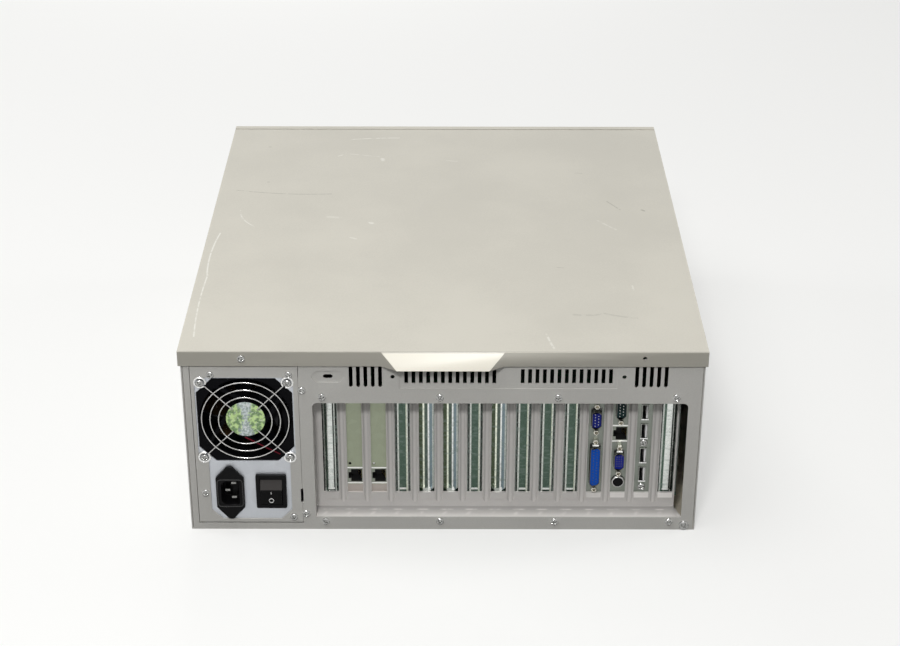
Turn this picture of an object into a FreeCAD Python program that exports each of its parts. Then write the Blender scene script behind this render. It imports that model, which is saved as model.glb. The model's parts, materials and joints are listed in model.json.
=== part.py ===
import FreeCAD, Part
import math
import os

# A rackmount industrial computer case in folded sheet steel, with its power supply, slot covers and cards.
# Millimetres. X runs to the right as seen from the rear, Y from the rear to the front, Z up.
# Every piece is drawn with the rear panel's outer face at y = 0, and moved to the origin when it is saved.

V = FreeCAD.Vector
ALONG_X = V(1, 0, 0)
ALONG_Y = V(0, 1, 0)
ALONG_Z = V(0, 0, 1)
REARWARD = V(0, -1, 0)
FORWARD = V(0, 1, 0)

# Sheet metal and clearances
sheet = 1.2
cover_gap = 0.6
seam = 0.4
hole_fit = 0.3
running_fit = 0.05
card_fit = 0.2
cut_over = 2.0
plate_slit = 0.8

# Pan-head machine screws
screw_r = 1.5
screw_length = 4.5
head_r = 2.9
head_height = 2.0

# Power supply, standing upright at the left of the rear
fan_size = 80.0
fan_depth = 25.0
fan_side_room = 3.0
fan_top_room = 9.5
inlet_zone = 60.5
psu_depth = 140.0
psu_sheet = 1.0
psu_side_gap = 7.6
psu_floor = 6.7
psu_headroom = 16.3
psu_hole_edge = 6.0
psu_hole_inset = 16.0
psu_hole_rise = 30.0
psu_vents = 8
psu_board_lift = 4.0
psu_foot = 8.0
psu_board_gap = 4.0
psu_board_end = 2.0
sink_reach = 56.0
sink_thick = 3.0
sink_inset = 12.0
sink_edge = 40.0
core_size = 36.0
core_height = 24.0

# Card slots and the window that shows them
slot_count = 15
slot_pitch = 20.32
slot_width = 12.9
slot_setback = 17.6
window_margin = 6.2
window_bottom = 12.3
window_height = 111.6
window_headroom = 49.1
window_corner = 4.0
psu_to_window = 12.6
window_to_wall = 12.02
shelf_rise = 4.3
pad_bottom = 19.8
pad_height = 6.6
pad_proud = 0.9
slot_top_land = 1.0
flange_trim = 1.0
rib_bead_base = 2.9
rib_bead_flat = 1.7
rib_bead_proud = 0.9
rib_bead_bottom = 16.2

# Case
case_depth = 484.0
flange_width = 10.0
corner_tab = 12.5
corner_tab_height = 10.0
corner_screw_inset = 8.1
corner_screw_rise = 4.6
corner_head_r = 4.0
cover_lip = 13.5
cover_front_gap = 1.8
cover_screw_x = 164.0
cover_screw_drop = 6.1
pull_reach = 8.0
pull_top_half = 50.3
pull_bottom_half = 37.4
front_lip = 7.0

# Rear panel pressings and vents
bay_screw_pitch = 97.1
bay_screw_offset = -1.1
bay_screw_above = 5.9
bay_screw_below = 4.0
vent_offset = 6.4
vent_width = 3.1
vent_pitch = 6.0
vent_height = 13.5
vent_drop = 17.1
inner_vents = 13
inner_vent_centre = 47.6
outer_vents = 5
vent_corner = 1.1
outer_vent_centre = 116.9
outer_vent_height = 22.0
outer_vent_drop = 12.0
pin_hole_x = 94.7
pin_hole_r = 1.8
pressing_half = 89.2
pressing_height = 20.7
pressing_depth = 0.6
pressing_gap = 1.0
dimple_inset = 13.7
dimple_drop = 24.2
dimple_half = 14.0
dimple_flat = 9.0
dimple_rise = 5.4
dimple_depth = 0.8
eyelet_length = 7.9
eyelet_width = 4.0
eyelet_corner = 1.4
notch_width = 0.6
notch_rise = 19.9
notch_height = 13.5

# Supply plate
plate_reach = 7.6
plate_rise = 2.0
plate_low_screw = 9.3
plate_high_screw = 129.6
plate_screw_reach = 4.4
face_cut_left = 10.6
face_cut_right = 7.4
face_cut_rise = 3.8
face_cut_corner = 9.0
fan_cut_corner = 2.0

# Supply fan and guard
fan_hole_edge = 4.25
fan_wall = 2.0
fan_flange = 4.0
fan_corner = 3.0
fan_hole_r = 2.2
fan_hub_r = 16.6
fan_strut = 3.2
fan_struts = 4
duct_sides = 36
hub_sides = 24
hub_skin = 1.0
fan_blades = 7
blade_thick = 1.5
blade_gap = 1.4
blade_root = (52.0, 17.0)
blade_middle = (42.0, 20.0)
blade_tip = (33.0, 23.0)
blade_sweep = 18.0
blade_middle_sweep = 8.1
duct_relief = 0.4
strut_turn = 30.0
shaft_r = 1.5
octagon_half = 39.6
octagon_corner = 13.7
wire_r = 0.65
guard_edge = 3.9
ring_step = 7.0
ring_nest = 1.7
guard_rings = 3
guard_sides = 32
loop_r = 4.4
spoke_inner_r = 14.5

# Mains inlet and switch
inlet_x = 27.1
inlet_z = 30.2
inlet_half = 11.9
inlet_waist = 14.3
inlet_ear = 21.4
inlet_ear_r = 4.4
inlet_flange = 2.8
inlet_body_half = 9.6
inlet_body_waist = 13.2
inlet_depth = 20.0
socket_half = 7.6
socket_waist = 11.6
socket_depth = 15.0
socket_corner = 3.5
blade_recess = 5.2
blade_width = 4.0
blade_sheet = 2.0
blade_step = 7.0
blade_offset = 2.6
switch_from_right = 24.3
switch_z = 31.4
switch_half = 12.9
switch_waist = 16.35
switch_bezel = 2.4
switch_depth = 22.0
switch_wall = 1.6
bezel_corner = 1.5
rocker_half = 9.1
rocker_reach = 12.4
rocker_ridge = 6.0
rocker_tilt = 20.0
rocker_proud = 2.0
rocker_pin_r = 1.2
rocker_pin = 1.2

# Slot brackets
bracket_half = 9.2
bracket_sheet = 0.9
bracket_reach = 11.0
bracket_tip = 14.0
tongue_half = 3.0
card_screw_back = 6.2
ridge_base = 5.65
ridge_flat = 2.8
ridge_proud = 1.7
ridge_bottom = 28.6
ridge_gap = 2.0
ridge_top_gap = 4.0
tongue_slope = 4.0
bead_base = 3.6
bead_flat = 1.4
bead_proud = 0.9
bead_bottom = 33.4
bead_top = 121.0
ridged_slots = (1, 4, 7, 9, 10, 11, 15)
beaded_slots = (5, 6, 8)

# Cards and connectors
board_thick = 1.6
board_offset = -7.2
board_behind = 0.5
board_bottom = 24.0
lan_slots = (2, 3)
lan_board_length = 130.0
lan_board_height = 92.0
cpu_slot = 13
cpu_board_length = 338.0
cpu_board_height = 102.0
port_slot = 12
usb_slot = 14
jack_length = 16.4
jack_depth = 15.0
jack_bottom = 34.0
jack_mouth_half = 5.7
jack_mouth_length = 12.2
jack_mouth_depth = 11.0
jack_latch = 6.2
jack_latch_depth = 2.2
jack_lamp_rise = 3.6
jack_lamp_r = 1.2
jack_lamp_x = -4.2
cpu_jack_bottom = 76.0
dsub_width = 8.4
dsub_wall = 0.5
dsub_reach = 6.0
dsub_flange_half = 6.2
dsub_flange = 1.0
dsub_body = 8.0
dsub_taper = 0.8
dsub_corner = 2.0
nine_way = 17.0
nine_way_posts = 25.0
twentyfive_way = 39.0
twentyfive_way_posts = 47.0
serial_z = 99.8
parallel_z = 54.3
com_z = 109.4
video_z = 59.3
post_r = 2.6
post_length = 5.0
keyboard_z = 37.0
keyboard_r = 5.6
keyboard_proud = 1.2
keyboard_depth = 13.0
usb_bottoms = (37.4, 55.8, 79.6, 98.2)
usb_half = 2.9
usb_length = 14.2
usb_wall = 0.4
usb_depth = 15.0
usb_screws = (31.7, 75.2)
heatsink_y = 150.0
heatsink_size = 60.0
heatsink_base = 2.0
heatsink_fins = 6
heatsink_reach = 7.0

# Backplane and hold-down bar
backplane_z = 9.2
backplane_start = 40.0
backplane_end = 296.0
standoff_r = 3.0
standoff_inset = 8.0
socket_start = 70.0
socket_length = 140.0
socket_width = 8.6
socket_height = 11.2
groove_depth = 8.0
tab_inset = 2.0
bar_y = 250.0
bar_width = 24.0
bar_top = 166.0
bar_side = 12.0
card_pad_width = 6.0
card_pad_length = 14.0

# Front panel, door, drives and intake
door_inset = 20.0
door_width = 150.0
door_bottom = 16.0
door_height = 141.0
door_return = 6.0
door_gap = 1.2
pivot_inset = 2.0
pivot_r = 1.0
pivot_length = 2.0
finger_notch_r = 9.0
cage_width = 149.4
cage_depth = 160.0
cage_height = 144.0
cage_foot = 10.0
cage_setback = 10.0
bay_height = 41.3
bay_depth = 12.0
disk_shelf_z = 12.0
disk_width = 101.6
disk_length = 146.0
disk_height = 26.1
disk_setback = 6.0
disk_lid = 4.0
intake_x = 110.0
intake_z = 86.0
grille_slots = 11
grille_slot = 3.6
grille_pitch = 6.4
grille_height = 62.0
button_x = 8.0
power_z = 100.0
power_r = 6.0
reset_z = 78.0
reset_r = 3.5
button_proud = 1.5
button_cap = 4.0
button_stem_half = 1.8
button_stem = 9.0
button_travel_room = 3.2
button_block_half = 9.0
button_block_depth = 9.0
button_block_over = 6.0
block_foot = 3.0
lamp_half_width = 2.5
lamp_half_height = 1.2
lamp_zs = (54.0, 62.0)
lamp_depth = 6.0

# Rack ears are screwed to the side walls
ear_hole_r = 2.1
ear_setback = 24.0
ear_pitch_y = 25.0
ear_pitch_z = 76.2
ear_z = 86.0

# Sizes that follow from the driving dimensions
psu_width = fan_size + 2 * fan_side_room
psu_height = inlet_zone + fan_size + fan_top_room
window_width = (slot_count - 1) * slot_pitch + slot_width + 2 * window_margin
body_width = psu_side_gap + psu_width + psu_to_window + window_width + window_to_wall
psu_stack = psu_floor + psu_height + psu_headroom
window_stack = window_bottom + window_height + window_headroom
case_height = max(psu_stack, window_stack)
wall_x = body_width / 2
wall_inner = wall_x - sheet
cover_half = wall_x + cover_gap + sheet
side_top = case_height - sheet - cover_gap
panel_half = wall_inner - seam
panel_back = case_depth - sheet
lip_inner = -cover_gap
lip_outer = -cover_gap - sheet
psu_left = -wall_x + psu_side_gap
psu_right = psu_left + psu_width
psu_top = psu_floor + psu_height
psu_face = sheet
fan_x = psu_left + psu_width / 2
fan_z = psu_top - fan_top_room - fan_size / 2
fan_hole = fan_size / 2 - fan_hole_edge
guard_r = fan_size / 2 - guard_edge
window_left = psu_right + psu_to_window
window_right = window_left + window_width
window_top = window_bottom + window_height
window_centre = window_left + window_width / 2
slot_back = slot_setback + sheet
slot_bottom = pad_bottom + pad_height
shelf_top = window_top + shelf_rise
slot_top = shelf_top - sheet - slot_top_land
first_slot = window_left + window_margin + slot_width / 2
bracket_back = slot_back + bracket_sheet
card_screw_y = slot_back - card_screw_back
board_start = bracket_back + board_behind
card_side = -board_offset - board_thick / 2
jack_half = card_side
socket_base = backplane_z + board_thick
reach_back = pull_reach + sheet + cover_gap
reach_front = max(button_proud, head_height)
rear_face = (reach_back - case_depth - reach_front) / 2


def slot_x(number):
    """Middle of a card slot, counted from the left."""
    return first_slot + (number - 1) * slot_pitch


def box(x0, x1, y0, y1, z0, z1):
    """Block between two corners."""
    return Part.makeBox(x1 - x0, y1 - y0, z1 - z0, V(x0, y0, z0))


def prism(points, direction):
    """Closed outline carried along a direction."""
    return Part.Face(Part.makePolygon(points + points[:1])).extrude(direction)


def prism_x(outline, x0, x1):
    """Outline of (y, z) points carried along X."""
    return prism([V(x0, y, z) for y, z in outline], V(x1 - x0, 0, 0))


def prism_y(outline, y0, y1):
    """Outline of (x, z) points carried along Y."""
    return prism([V(x, y0, z) for x, z in outline], V(0, y1 - y0, 0))


def prism_z(outline, z0, z1):
    """Outline of (x, y) points carried along Z."""
    return prism([V(x, y, z0) for x, y in outline], V(0, 0, z1 - z0))


def rod(point, direction, radius, length):
    """Round bar or hole from a point."""
    return Part.makeCylinder(radius, length, point, direction)


def bar(point, direction, radius, length, sides=8):
    """Many-sided bar or hole from a point; the radius is to its flats."""
    half_turn = math.pi / sides
    corner = radius / math.cos(half_turn)
    turns = [half_turn * (2 * k + 1) for k in range(sides)]
    solid = prism([V(corner * math.cos(t), corner * math.sin(t), 0) for t in turns], ALONG_Z * length)
    solid.Placement = FreeCAD.Placement(point, FreeCAD.Rotation(ALONG_Z, direction))
    return solid


def cut_corners(x0, x1, z0, z1, cut):
    """Rectangle with its four corners cut off."""
    return [
        (x0 + cut, z0),
        (x1 - cut, z0),
        (x1, z0 + cut),
        (x1, z1 - cut),
        (x1 - cut, z1),
        (x0 + cut, z1),
        (x0, z1 - cut),
        (x0, z0 + cut),
    ]


def round_edges(solid, radius, along, above=0.0):
    """Fillet the straight edges that run along one direction, from a height up."""
    edges = [edge for edge in solid.Edges if abs(edge.tangentAt(edge.FirstParameter).dot(along)) > 0.999]
    return solid.makeFillet(radius, [edge for edge in edges if edge.CenterOfMass.z > above])


def screw(seat, outward, radius=head_r):
    """Machine screw; the seat is the point under its head."""
    head = bar(seat, outward, radius, head_height)
    shank = bar(seat, outward * -1, screw_r, screw_length)
    return head.fuse(shank)


def screw_hole(seat, outward):
    """Clearance hole for a machine screw."""
    return bar(seat + outward * cut_over, outward * -1, screw_r + hole_fit, screw_length + 2 * cut_over)


def bay_screw_seats():
    """Two rows of four screws that hold the slot bay behind the rear panel."""
    middle = window_centre + bay_screw_offset
    columns = [middle + (k - 1.5) * bay_screw_pitch for k in range(4)]
    rows = (window_top + bay_screw_above, window_bottom - bay_screw_below)
    return [V(x, 0, z) for z in rows for x in columns]


def plate_screw_seats():
    """Two screws through the rear panel into the supply plate's tongue."""
    x = psu_right + plate_screw_reach
    return [V(x, 0, psu_floor + rise) for rise in (plate_low_screw, plate_high_screw)]


def corner_screw_seat():
    """Screw through the rear panel into the tray's corner tab."""
    return V(wall_inner - corner_screw_inset, 0, corner_screw_rise)


def psu_screw_seats():
    """The four standard screws of a full-size computer power supply, seated on the supply plate."""
    right = psu_right - psu_hole_edge
    top = psu_top - psu_hole_edge
    return [
        V(psu_left + psu_hole_inset, 0, top),
        V(right, 0, top),
        V(psu_left + psu_hole_edge, 0, psu_floor + psu_hole_rise),
        V(right, 0, psu_floor + psu_hole_edge),
    ]


def fan_corners(x, y, z):
    """Corner hole positions of a square fan."""
    return [V(x + i * fan_hole, y, z + k * fan_hole) for i in (-1, 1) for k in (-1, 1)]


def fan_screw_seats():
    """Guard screws, seated on the wire loops of the fan guard."""
    return fan_corners(fan_x, psu_face - 2 * wire_r, fan_z)


def intake_screw_seats():
    """Screws of the intake fan, on the front panel's face."""
    return fan_corners(intake_x, case_depth, intake_z)


def card_screw_seats():
    """One screw on the flange of each slot bracket."""
    z = shelf_top + bracket_sheet
    return [V(slot_x(n), card_screw_y, z) for n in range(1, slot_count + 1)]


def usb_screw_seats():
    """Two screws that hold the USB ports to their bracket."""
    return [V(slot_x(usb_slot), slot_back, z) for z in usb_screws]


def chassis_tray():
    """Floor and side walls folded from one sheet, with flanges along the top and at the front."""
    flange_x = wall_inner - flange_width
    half = [
        (wall_x, 0),
        (wall_x, side_top),
        (flange_x, side_top),
        (flange_x, side_top - sheet),
        (wall_inner, side_top - sheet),
        (wall_inner, sheet),
    ]
    outline = half + [(-x, z) for x, z in reversed(half)]
    tray = prism_y(outline, 0, panel_back)
    fronts = [box(flange_x, wall_inner, panel_back - sheet, panel_back, sheet, side_top - sheet)]
    fronts.append(fronts[0].mirror(V(0, 0, 0), ALONG_X))
    tab = box(wall_inner - corner_tab, wall_inner, sheet, 2 * sheet, sheet, corner_tab_height)
    tray = tray.fuse(fronts + [tab]).removeSplitter()
    cuts = [box(-wall_inner, wall_inner, 0, sheet + seam, side_top - sheet, side_top)]
    cuts.append(screw_hole(corner_screw_seat(), REARWARD))
    for y, z in wall_holes():
        cuts.append(rod(V(-wall_x, y, z), ALONG_X, ear_hole_r, 2 * wall_x))
    return tray.cut(cuts)


def wall_holes():
    """Holes in the side walls for rack ears, near the front."""
    ear_y = case_depth - ear_setback - ear_pitch_y / 2
    return [(ear_y + i * ear_pitch_y / 2, ear_z + k * ear_pitch_z / 2) for i in (-1, 1) for k in (-1, 1)]


def vent_columns(count, centre):
    """Middle lines of a group of vent slots."""
    return [centre + (k - (count - 1) / 2) * vent_pitch for k in range(count)]


def vent_cuts():
    """Four groups of upright vent slots, alike on both sides of the vent centre."""
    middle = window_centre + vent_offset
    half = vent_width / 2
    low, high = -cut_over, sheet + cut_over
    cuts = []
    for side in (-1, 1):
        top = case_height - vent_drop
        for x in vent_columns(inner_vents, middle + side * inner_vent_centre):
            cuts.append(box(x - half, x + half, low, high, top - vent_height, top))
        top = case_height - outer_vent_drop
        for x in vent_columns(outer_vents, middle + side * outer_vent_centre):
            outline = cut_corners(x - half, x + half, top - outer_vent_height, top, vent_corner)
            cuts.append(prism_y(outline, low, high))
        hole = V(middle + side * pin_hole_x, low, case_height - dimple_drop)
        cuts.append(rod(hole, FORWARD, pin_hole_r, high - low))
    return cuts


def dimple_outline():
    """Flat hexagon pressed into the panel round the eyelet slot."""
    x = window_left + dimple_inset
    z = case_height - dimple_drop
    right = [(x + dimple_flat, z - dimple_rise), (x + dimple_half, z), (x + dimple_flat, z + dimple_rise)]
    return right + [(2 * x - px, pz) for px, pz in reversed(right)]


def eyelet_cut():
    """Level oblong hole in the middle of the dimple."""
    x = window_left + dimple_inset
    z = case_height - dimple_drop
    half, rise = eyelet_length / 2, eyelet_width / 2
    outline = cut_corners(x - half, x + half, z - rise, z + rise, eyelet_corner)
    return prism_y(outline, -cut_over, sheet + cut_over)


def cover_screw_seat(side):
    """Place of a cover screw on the rear lip."""
    return V(side * cover_screw_x, lip_outer, case_height - cover_screw_drop)


def rear_panel():
    """Folded plate between the side walls, with the supply opening, the card window and the vents."""
    panel = box(-panel_half, panel_half, 0, sheet, sheet, side_top)
    top_half = wall_inner - flange_width - seam
    edge_low = corner_tab_height + 2 * seam
    edge_high = side_top - sheet - seam
    folds = [
        box(-top_half, top_half, 0, flange_width, side_top - sheet, side_top),
        box(-top_half, wall_inner - corner_tab - seam, 0, flange_width, sheet, 2 * sheet),
        box(-panel_half, sheet - panel_half, 0, flange_width, edge_low, edge_high),
        box(panel_half - sheet, panel_half, 0, flange_width, edge_low, edge_high),
    ]
    middle = window_centre + vent_offset
    press_top = case_height - cover_lip - pressing_gap
    press = (middle - pressing_half, middle + pressing_half)
    press_z = (press_top - pressing_height, press_top)
    folds.append(box(*press, sheet, sheet + pressing_depth, *press_z))
    folds.append(prism_y(dimple_outline(), sheet, sheet + dimple_depth))
    panel = panel.fuse(folds).removeSplitter()
    window = box(window_left, window_right, -cut_over, sheet + cut_over, window_bottom, window_top)
    plate_left = psu_left - 2 * seam
    plate_right = psu_right + sheet + 2 * seam
    through = (-cut_over, sheet + cut_over)
    opening = box(plate_left, plate_right, *through, psu_floor - plate_slit, psu_top + plate_rise)
    notch_z = psu_floor + notch_rise
    notch = box(psu_right, plate_right + notch_width, *through, notch_z, notch_z + notch_height)
    window = round_edges(window, window_corner, ALONG_Y, window_top - window_corner)
    cuts = [window, opening, notch, eyelet_cut()]
    cuts.append(box(*press, -cut_over, pressing_depth, *press_z))
    cuts.append(prism_y(dimple_outline(), -cut_over, dimple_depth))
    seats = bay_screw_seats() + plate_screw_seats() + [corner_screw_seat()]
    seats += [cover_screw_seat(-1), cover_screw_seat(1)]
    cuts += [screw_hole(seat, REARWARD) for seat in seats]
    return panel.cut(cuts + vent_cuts())


def slot_bay():
    """Hat-shaped recess folded from one sheet: flanges, two shelves and the slotted plane between them."""
    front, back = sheet, 2 * sheet
    low, high = window_bottom - sheet, shelf_top - sheet
    flange_low = window_bottom - bay_screw_below - flange_width / 2 + flange_trim
    flange_high = window_top + bay_screw_above + flange_width / 2
    outline = [
        (front, flange_high),
        (back, flange_high),
        (back, shelf_top),
        (slot_back, shelf_top),
        (slot_back, low),
        (back, low),
        (back, flange_low),
        (front, flange_low),
        (front, window_bottom),
        (slot_setback, window_bottom),
        (slot_setback, high),
        (front, high),
    ]
    left = window_left - sheet
    bay = prism_x(outline, left, window_right)
    side = box(left, window_left, front, slot_back, low, shelf_top)
    raised = [side] + rib_beads() + foot_pads()
    bay = bay.fuse(raised).removeSplitter()
    mitre = [
        (window_right, back),
        (window_right + cut_over, back),
        (window_right + cut_over, slot_back + cut_over),
        (window_right - window_margin + sheet, slot_back + cut_over),
        (window_right - window_margin + sheet, slot_back),
    ]
    cuts = [prism_z(mitre, 0, case_height)]
    tab_left = wall_inner - corner_tab - seam
    cuts.append(box(tab_left, window_right + cut_over, 0, back + cut_over, 0, window_bottom - sheet))
    half = slot_width / 2
    for number in range(1, slot_count + 1):
        x = slot_x(number)
        cuts.append(box(x - half, x + half, 0, slot_back + cut_over, slot_bottom, slot_top))
    cuts += [screw_hole(seat, REARWARD) for seat in bay_screw_seats()]
    cuts += [screw_hole(seat, ALONG_Z) for seat in card_screw_seats()]
    return bay.cut(cuts)


def rib_beads():
    """Stiffening bead with slanted flanks on each rib between two slots, pointed at its foot."""
    base, flat, low = rib_bead_base, rib_bead_flat, rib_bead_bottom
    front = slot_setback - rib_bead_proud
    top = slot_top - base
    beads = []
    for number in range(1, slot_count):
        x = slot_x(number) + slot_pitch / 2
        flanks = [(x - base, slot_setback), (x + base, slot_setback), (x + flat, front), (x - flat, front)]
        face = [(x, low), (x + base, low + base), (x + base, top), (x - base, top), (x - base, low + base)]
        beads.append(prism_z(flanks, low, top).common(prism_y(face, front, slot_setback)))
    return beads


def foot_pads():
    """Raised pad under each slot."""
    half = slot_width / 2
    front = slot_setback - pad_proud
    xs = [slot_x(number) for number in range(1, slot_count + 1)]
    return [box(x - half, x + half, front, slot_setback, pad_bottom, slot_bottom) for x in xs]


def top_cover():
    """Flat lid with lips on three sides; the rear lip flares out into a pull in its middle."""
    under = case_height - sheet
    low = case_height - cover_lip
    front = panel_back + sheet - front_lip - cover_front_gap
    lid = box(-cover_half, cover_half, lip_outer, front, under, case_height)
    lips = [box(-cover_half, cover_half, lip_outer, lip_inner, low, under)]
    lips.append(box(cover_half - sheet, cover_half, lip_outer, front, low, under))
    lips.append(box(-cover_half, sheet - cover_half, lip_outer, front, low, under))
    lid = lid.fuse(lips + [pull_form(0, 0)]).removeSplitter()
    slope = math.hypot(pull_reach, cover_lip) / cover_lip
    cuts = [pull_form(sheet * slope, sheet)]
    cuts += [screw_hole(cover_screw_seat(side), REARWARD) for side in (-1, 1)]
    return lid.cut(cuts)


def pull_form(inward, below):
    """Solid under the pull's slope, set inwards by a wall; a set-in form also runs on below and forward."""
    high = case_height - below
    low = case_height - cover_lip - below
    run = pull_reach / cover_lip
    top_y = lip_outer + inward - run * below
    foot_y = lip_outer + inward - run * (case_height - low)
    back = lip_inner + (cut_over if below else 0)
    side = prism_x([(back, high), (min(top_y, back), high), (foot_y, low), (back, low)], -wall_x, wall_x)
    tip = lip_outer - pull_reach + inward
    wide, narrow = pull_top_half - below, pull_bottom_half - below
    plan_half = [(wide, back), (wide, lip_outer), (narrow, tip)]
    if below:
        plan_half.append((narrow, tip - cut_over))
    plan = plan_half + [(-x, y) for x, y in reversed(plan_half)]
    return side.common(prism_z(plan, low, high))


def psu_plate():
    """Painted plate that carries the supply, flush in the rear panel, with a stepped tongue behind it."""
    left = psu_left - seam
    right = psu_right + sheet + seam
    bottom = psu_floor + seam
    top = psu_top + plate_rise - seam
    face = box(left, right, 0, sheet, bottom, top)
    web_left = right - sheet
    tongue = [
        (web_left, 0),
        (right, 0),
        (right, sheet),
        (right + plate_reach, sheet),
        (right + plate_reach, 2 * sheet),
        (web_left, 2 * sheet),
    ]
    plate = face.fuse(prism_z(tongue, bottom, psu_top - fan_top_room)).removeSplitter()
    cuts = [prism_y(face_cut_outline(), -cut_over, sheet + cut_over)]
    notch_z = psu_floor + notch_rise
    notch_end = right + seam + notch_width
    cuts.append(box(web_left, notch_end, -cut_over, 2 * sheet + cut_over, notch_z, notch_z + notch_height))
    cuts += [screw_hole(seat, REARWARD) for seat in psu_screw_seats() + plate_screw_seats()]
    return plate.cut(cuts)


def face_cut_outline():
    """Opening in the plate: wide round the fan, narrower and with cut corners round the inlet."""
    fan_reach = fan_hole + loop_r + seam
    low = psu_floor + face_cut_rise
    left = psu_left + face_cut_left
    right = psu_right - face_cut_right
    corner, nick = face_cut_corner, fan_cut_corner
    shoulder, top = fan_z - fan_reach, fan_z + fan_reach
    fan_left, fan_right = fan_x - fan_reach, fan_x + fan_reach
    return [
        (left + corner, low),
        (right - corner, low),
        (right, low + corner),
        (right, shoulder),
        (fan_right - nick, shoulder),
        (fan_right, shoulder + nick),
        (fan_right, top - nick),
        (fan_right - nick, top),
        (fan_left + nick, top),
        (fan_left, top - nick),
        (fan_left, shoulder + nick),
        (fan_left + nick, shoulder),
        (left, shoulder),
        (left, low + corner),
    ]


def octagon_outline():
    """Eight-sided opening of the supply's face in front of its fan."""
    half, corner = octagon_half, octagon_half - octagon_corner
    points = [(half, corner), (corner, half), (-corner, half), (-half, corner)]
    points += [(-x, -z) for x, z in points]
    return [(fan_x + x, fan_z + z) for x, z in points]


def psu_case():
    """Supply's channel: rear face, left side and front face folded from one sheet."""
    inner_y = psu_face + psu_sheet
    far_y = psu_face + psu_depth
    outline = [
        (psu_right, psu_face),
        (psu_left, psu_face),
        (psu_left, far_y),
        (psu_right, far_y),
        (psu_right, far_y - psu_sheet),
        (psu_left + psu_sheet, far_y - psu_sheet),
        (psu_left + psu_sheet, inner_y),
        (psu_right, inner_y),
    ]
    case = prism_z(outline, psu_floor, psu_top)
    cuts = [prism_y(octagon_outline(), 0, inner_y + cut_over)]
    x, z = psu_left + inlet_x, psu_floor + inlet_z
    half, waist = inlet_body_half + hole_fit, inlet_body_waist + hole_fit
    cuts.append(box(x - half, x + half, 0, inner_y + cut_over, z - waist, z + waist))
    x, z = psu_right - switch_from_right, psu_floor + switch_z
    half, waist = switch_half - switch_wall + hole_fit, switch_waist - switch_wall + hole_fit
    cuts.append(box(x - half, x + half, 0, inner_y + cut_over, z - waist, z + waist))
    cuts += [screw_hole(seat, REARWARD) for seat in psu_screw_seats() + fan_screw_seats()]
    slot_ys = (far_y - cut_over, far_y + cut_over)
    for k in range(psu_vents):
        low = psu_floor + psu_height / 2 + (k - psu_vents / 2) * 2 * vent_pitch
        cuts.append(box(fan_x - fan_hole, fan_x + fan_hole, *slot_ys, low, low + vent_width))
    return case.cut(cuts)


def psu_lid():
    """Supply's other channel: top, right side and underside."""
    inner = psu_right - psu_sheet
    left = psu_left + psu_sheet
    outline = [
        (left, psu_floor),
        (psu_right, psu_floor),
        (psu_right, psu_top),
        (left, psu_top),
        (left, psu_top - psu_sheet),
        (inner, psu_top - psu_sheet),
        (inner, psu_floor + psu_sheet),
        (left, psu_floor + psu_sheet),
    ]
    return prism_y(outline, psu_face + psu_sheet, psu_face + psu_depth - psu_sheet)


def psu_board():
    """Supply's circuit board on the left side, with its heatsinks and transformer block."""
    x = psu_left + psu_sheet
    start = psu_face + psu_sheet + fan_depth + psu_board_gap
    end = psu_face + psu_depth - psu_sheet - psu_board_end
    low, high = psu_floor + psu_hole_edge, psu_top - psu_hole_edge
    face = x + psu_board_lift
    board = box(face, face + board_thick, start, end, low, high)
    feet = [box(x, face, start, start + psu_foot, z, z + psu_foot) for z in (low, high - psu_foot)]
    rows = (low + sink_edge, high - sink_edge - sink_thick)
    span = (start + sink_inset, end - sink_inset)
    sinks = [box(face, face + sink_reach, *span, z, z + sink_thick) for z in rows]
    core_y = (start + end - core_size) / 2
    core_z = (low + high - core_height) / 2
    core = box(face, face + core_size, core_y, core_y + core_size, core_z, core_z + core_height)
    return board.fuse(feet + sinks + [core]).removeSplitter()


def fan_frame(x, y, z):
    """Square fan housing: two flanges joined by a round duct, with a hub held on four struts at its edge."""
    half = fan_size / 2
    duct_r = half - fan_wall
    ends = []
    for start in (y, y + fan_depth - fan_flange):
        outline = cut_corners(x - half, x + half, z - half, z + half, fan_corner)
        ends.append(prism_y(outline, start, start + fan_flange))
    duct = bar(V(x, y, z), FORWARD, half - duct_relief, fan_depth, duct_sides)
    clear = fan_depth + 2 * cut_over
    frame = duct.fuse(ends).cut(bar(V(x, y - cut_over, z), FORWARD, duct_r, clear, duct_sides))
    hub = bar(V(x, y, z), FORWARD, fan_hub_r, fan_strut, hub_sides)
    inner = fan_hub_r - fan_strut
    reach = math.sqrt((duct_r + duct_relief) ** 2 - inner ** 2)
    struts = []
    for k in range(fan_struts):
        strut = box(0, reach, 0, fan_strut, -fan_hub_r, -inner)
        strut.rotate(V(0, 0, 0), ALONG_Y, strut_turn + k * 360 / fan_struts)
        strut.translate(V(x, y, z))
        struts.append(strut)
    frame = frame.fuse([hub] + struts).removeSplitter()
    cuts = [rod(V(x, y + hub_skin, z), FORWARD, shaft_r + running_fit, fan_depth)]
    for corner in fan_corners(x, y - cut_over, z):
        cuts.append(bar(corner, FORWARD, fan_hole_r, clear))
    return frame.cut(cuts)


def blade_section(radius, flow, shape, lean):
    """Corners of a thin slanted blade section at one radius, turned forward by a lean angle."""
    pitch, chord = shape
    slant = math.radians(flow * pitch)
    along = V(0, math.sin(slant), math.cos(slant)) * (chord / 2)
    across = V(0, math.cos(slant), -math.sin(slant)) * (blade_thick / 2)
    turn = FreeCAD.Rotation(ALONG_Y, lean)
    signs = ((-1, -1), (1, -1), (1, 1), (-1, 1))
    return [turn.multVec(V(radius, 0, 0) + along * i + across * k) for i, k in signs]


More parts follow.
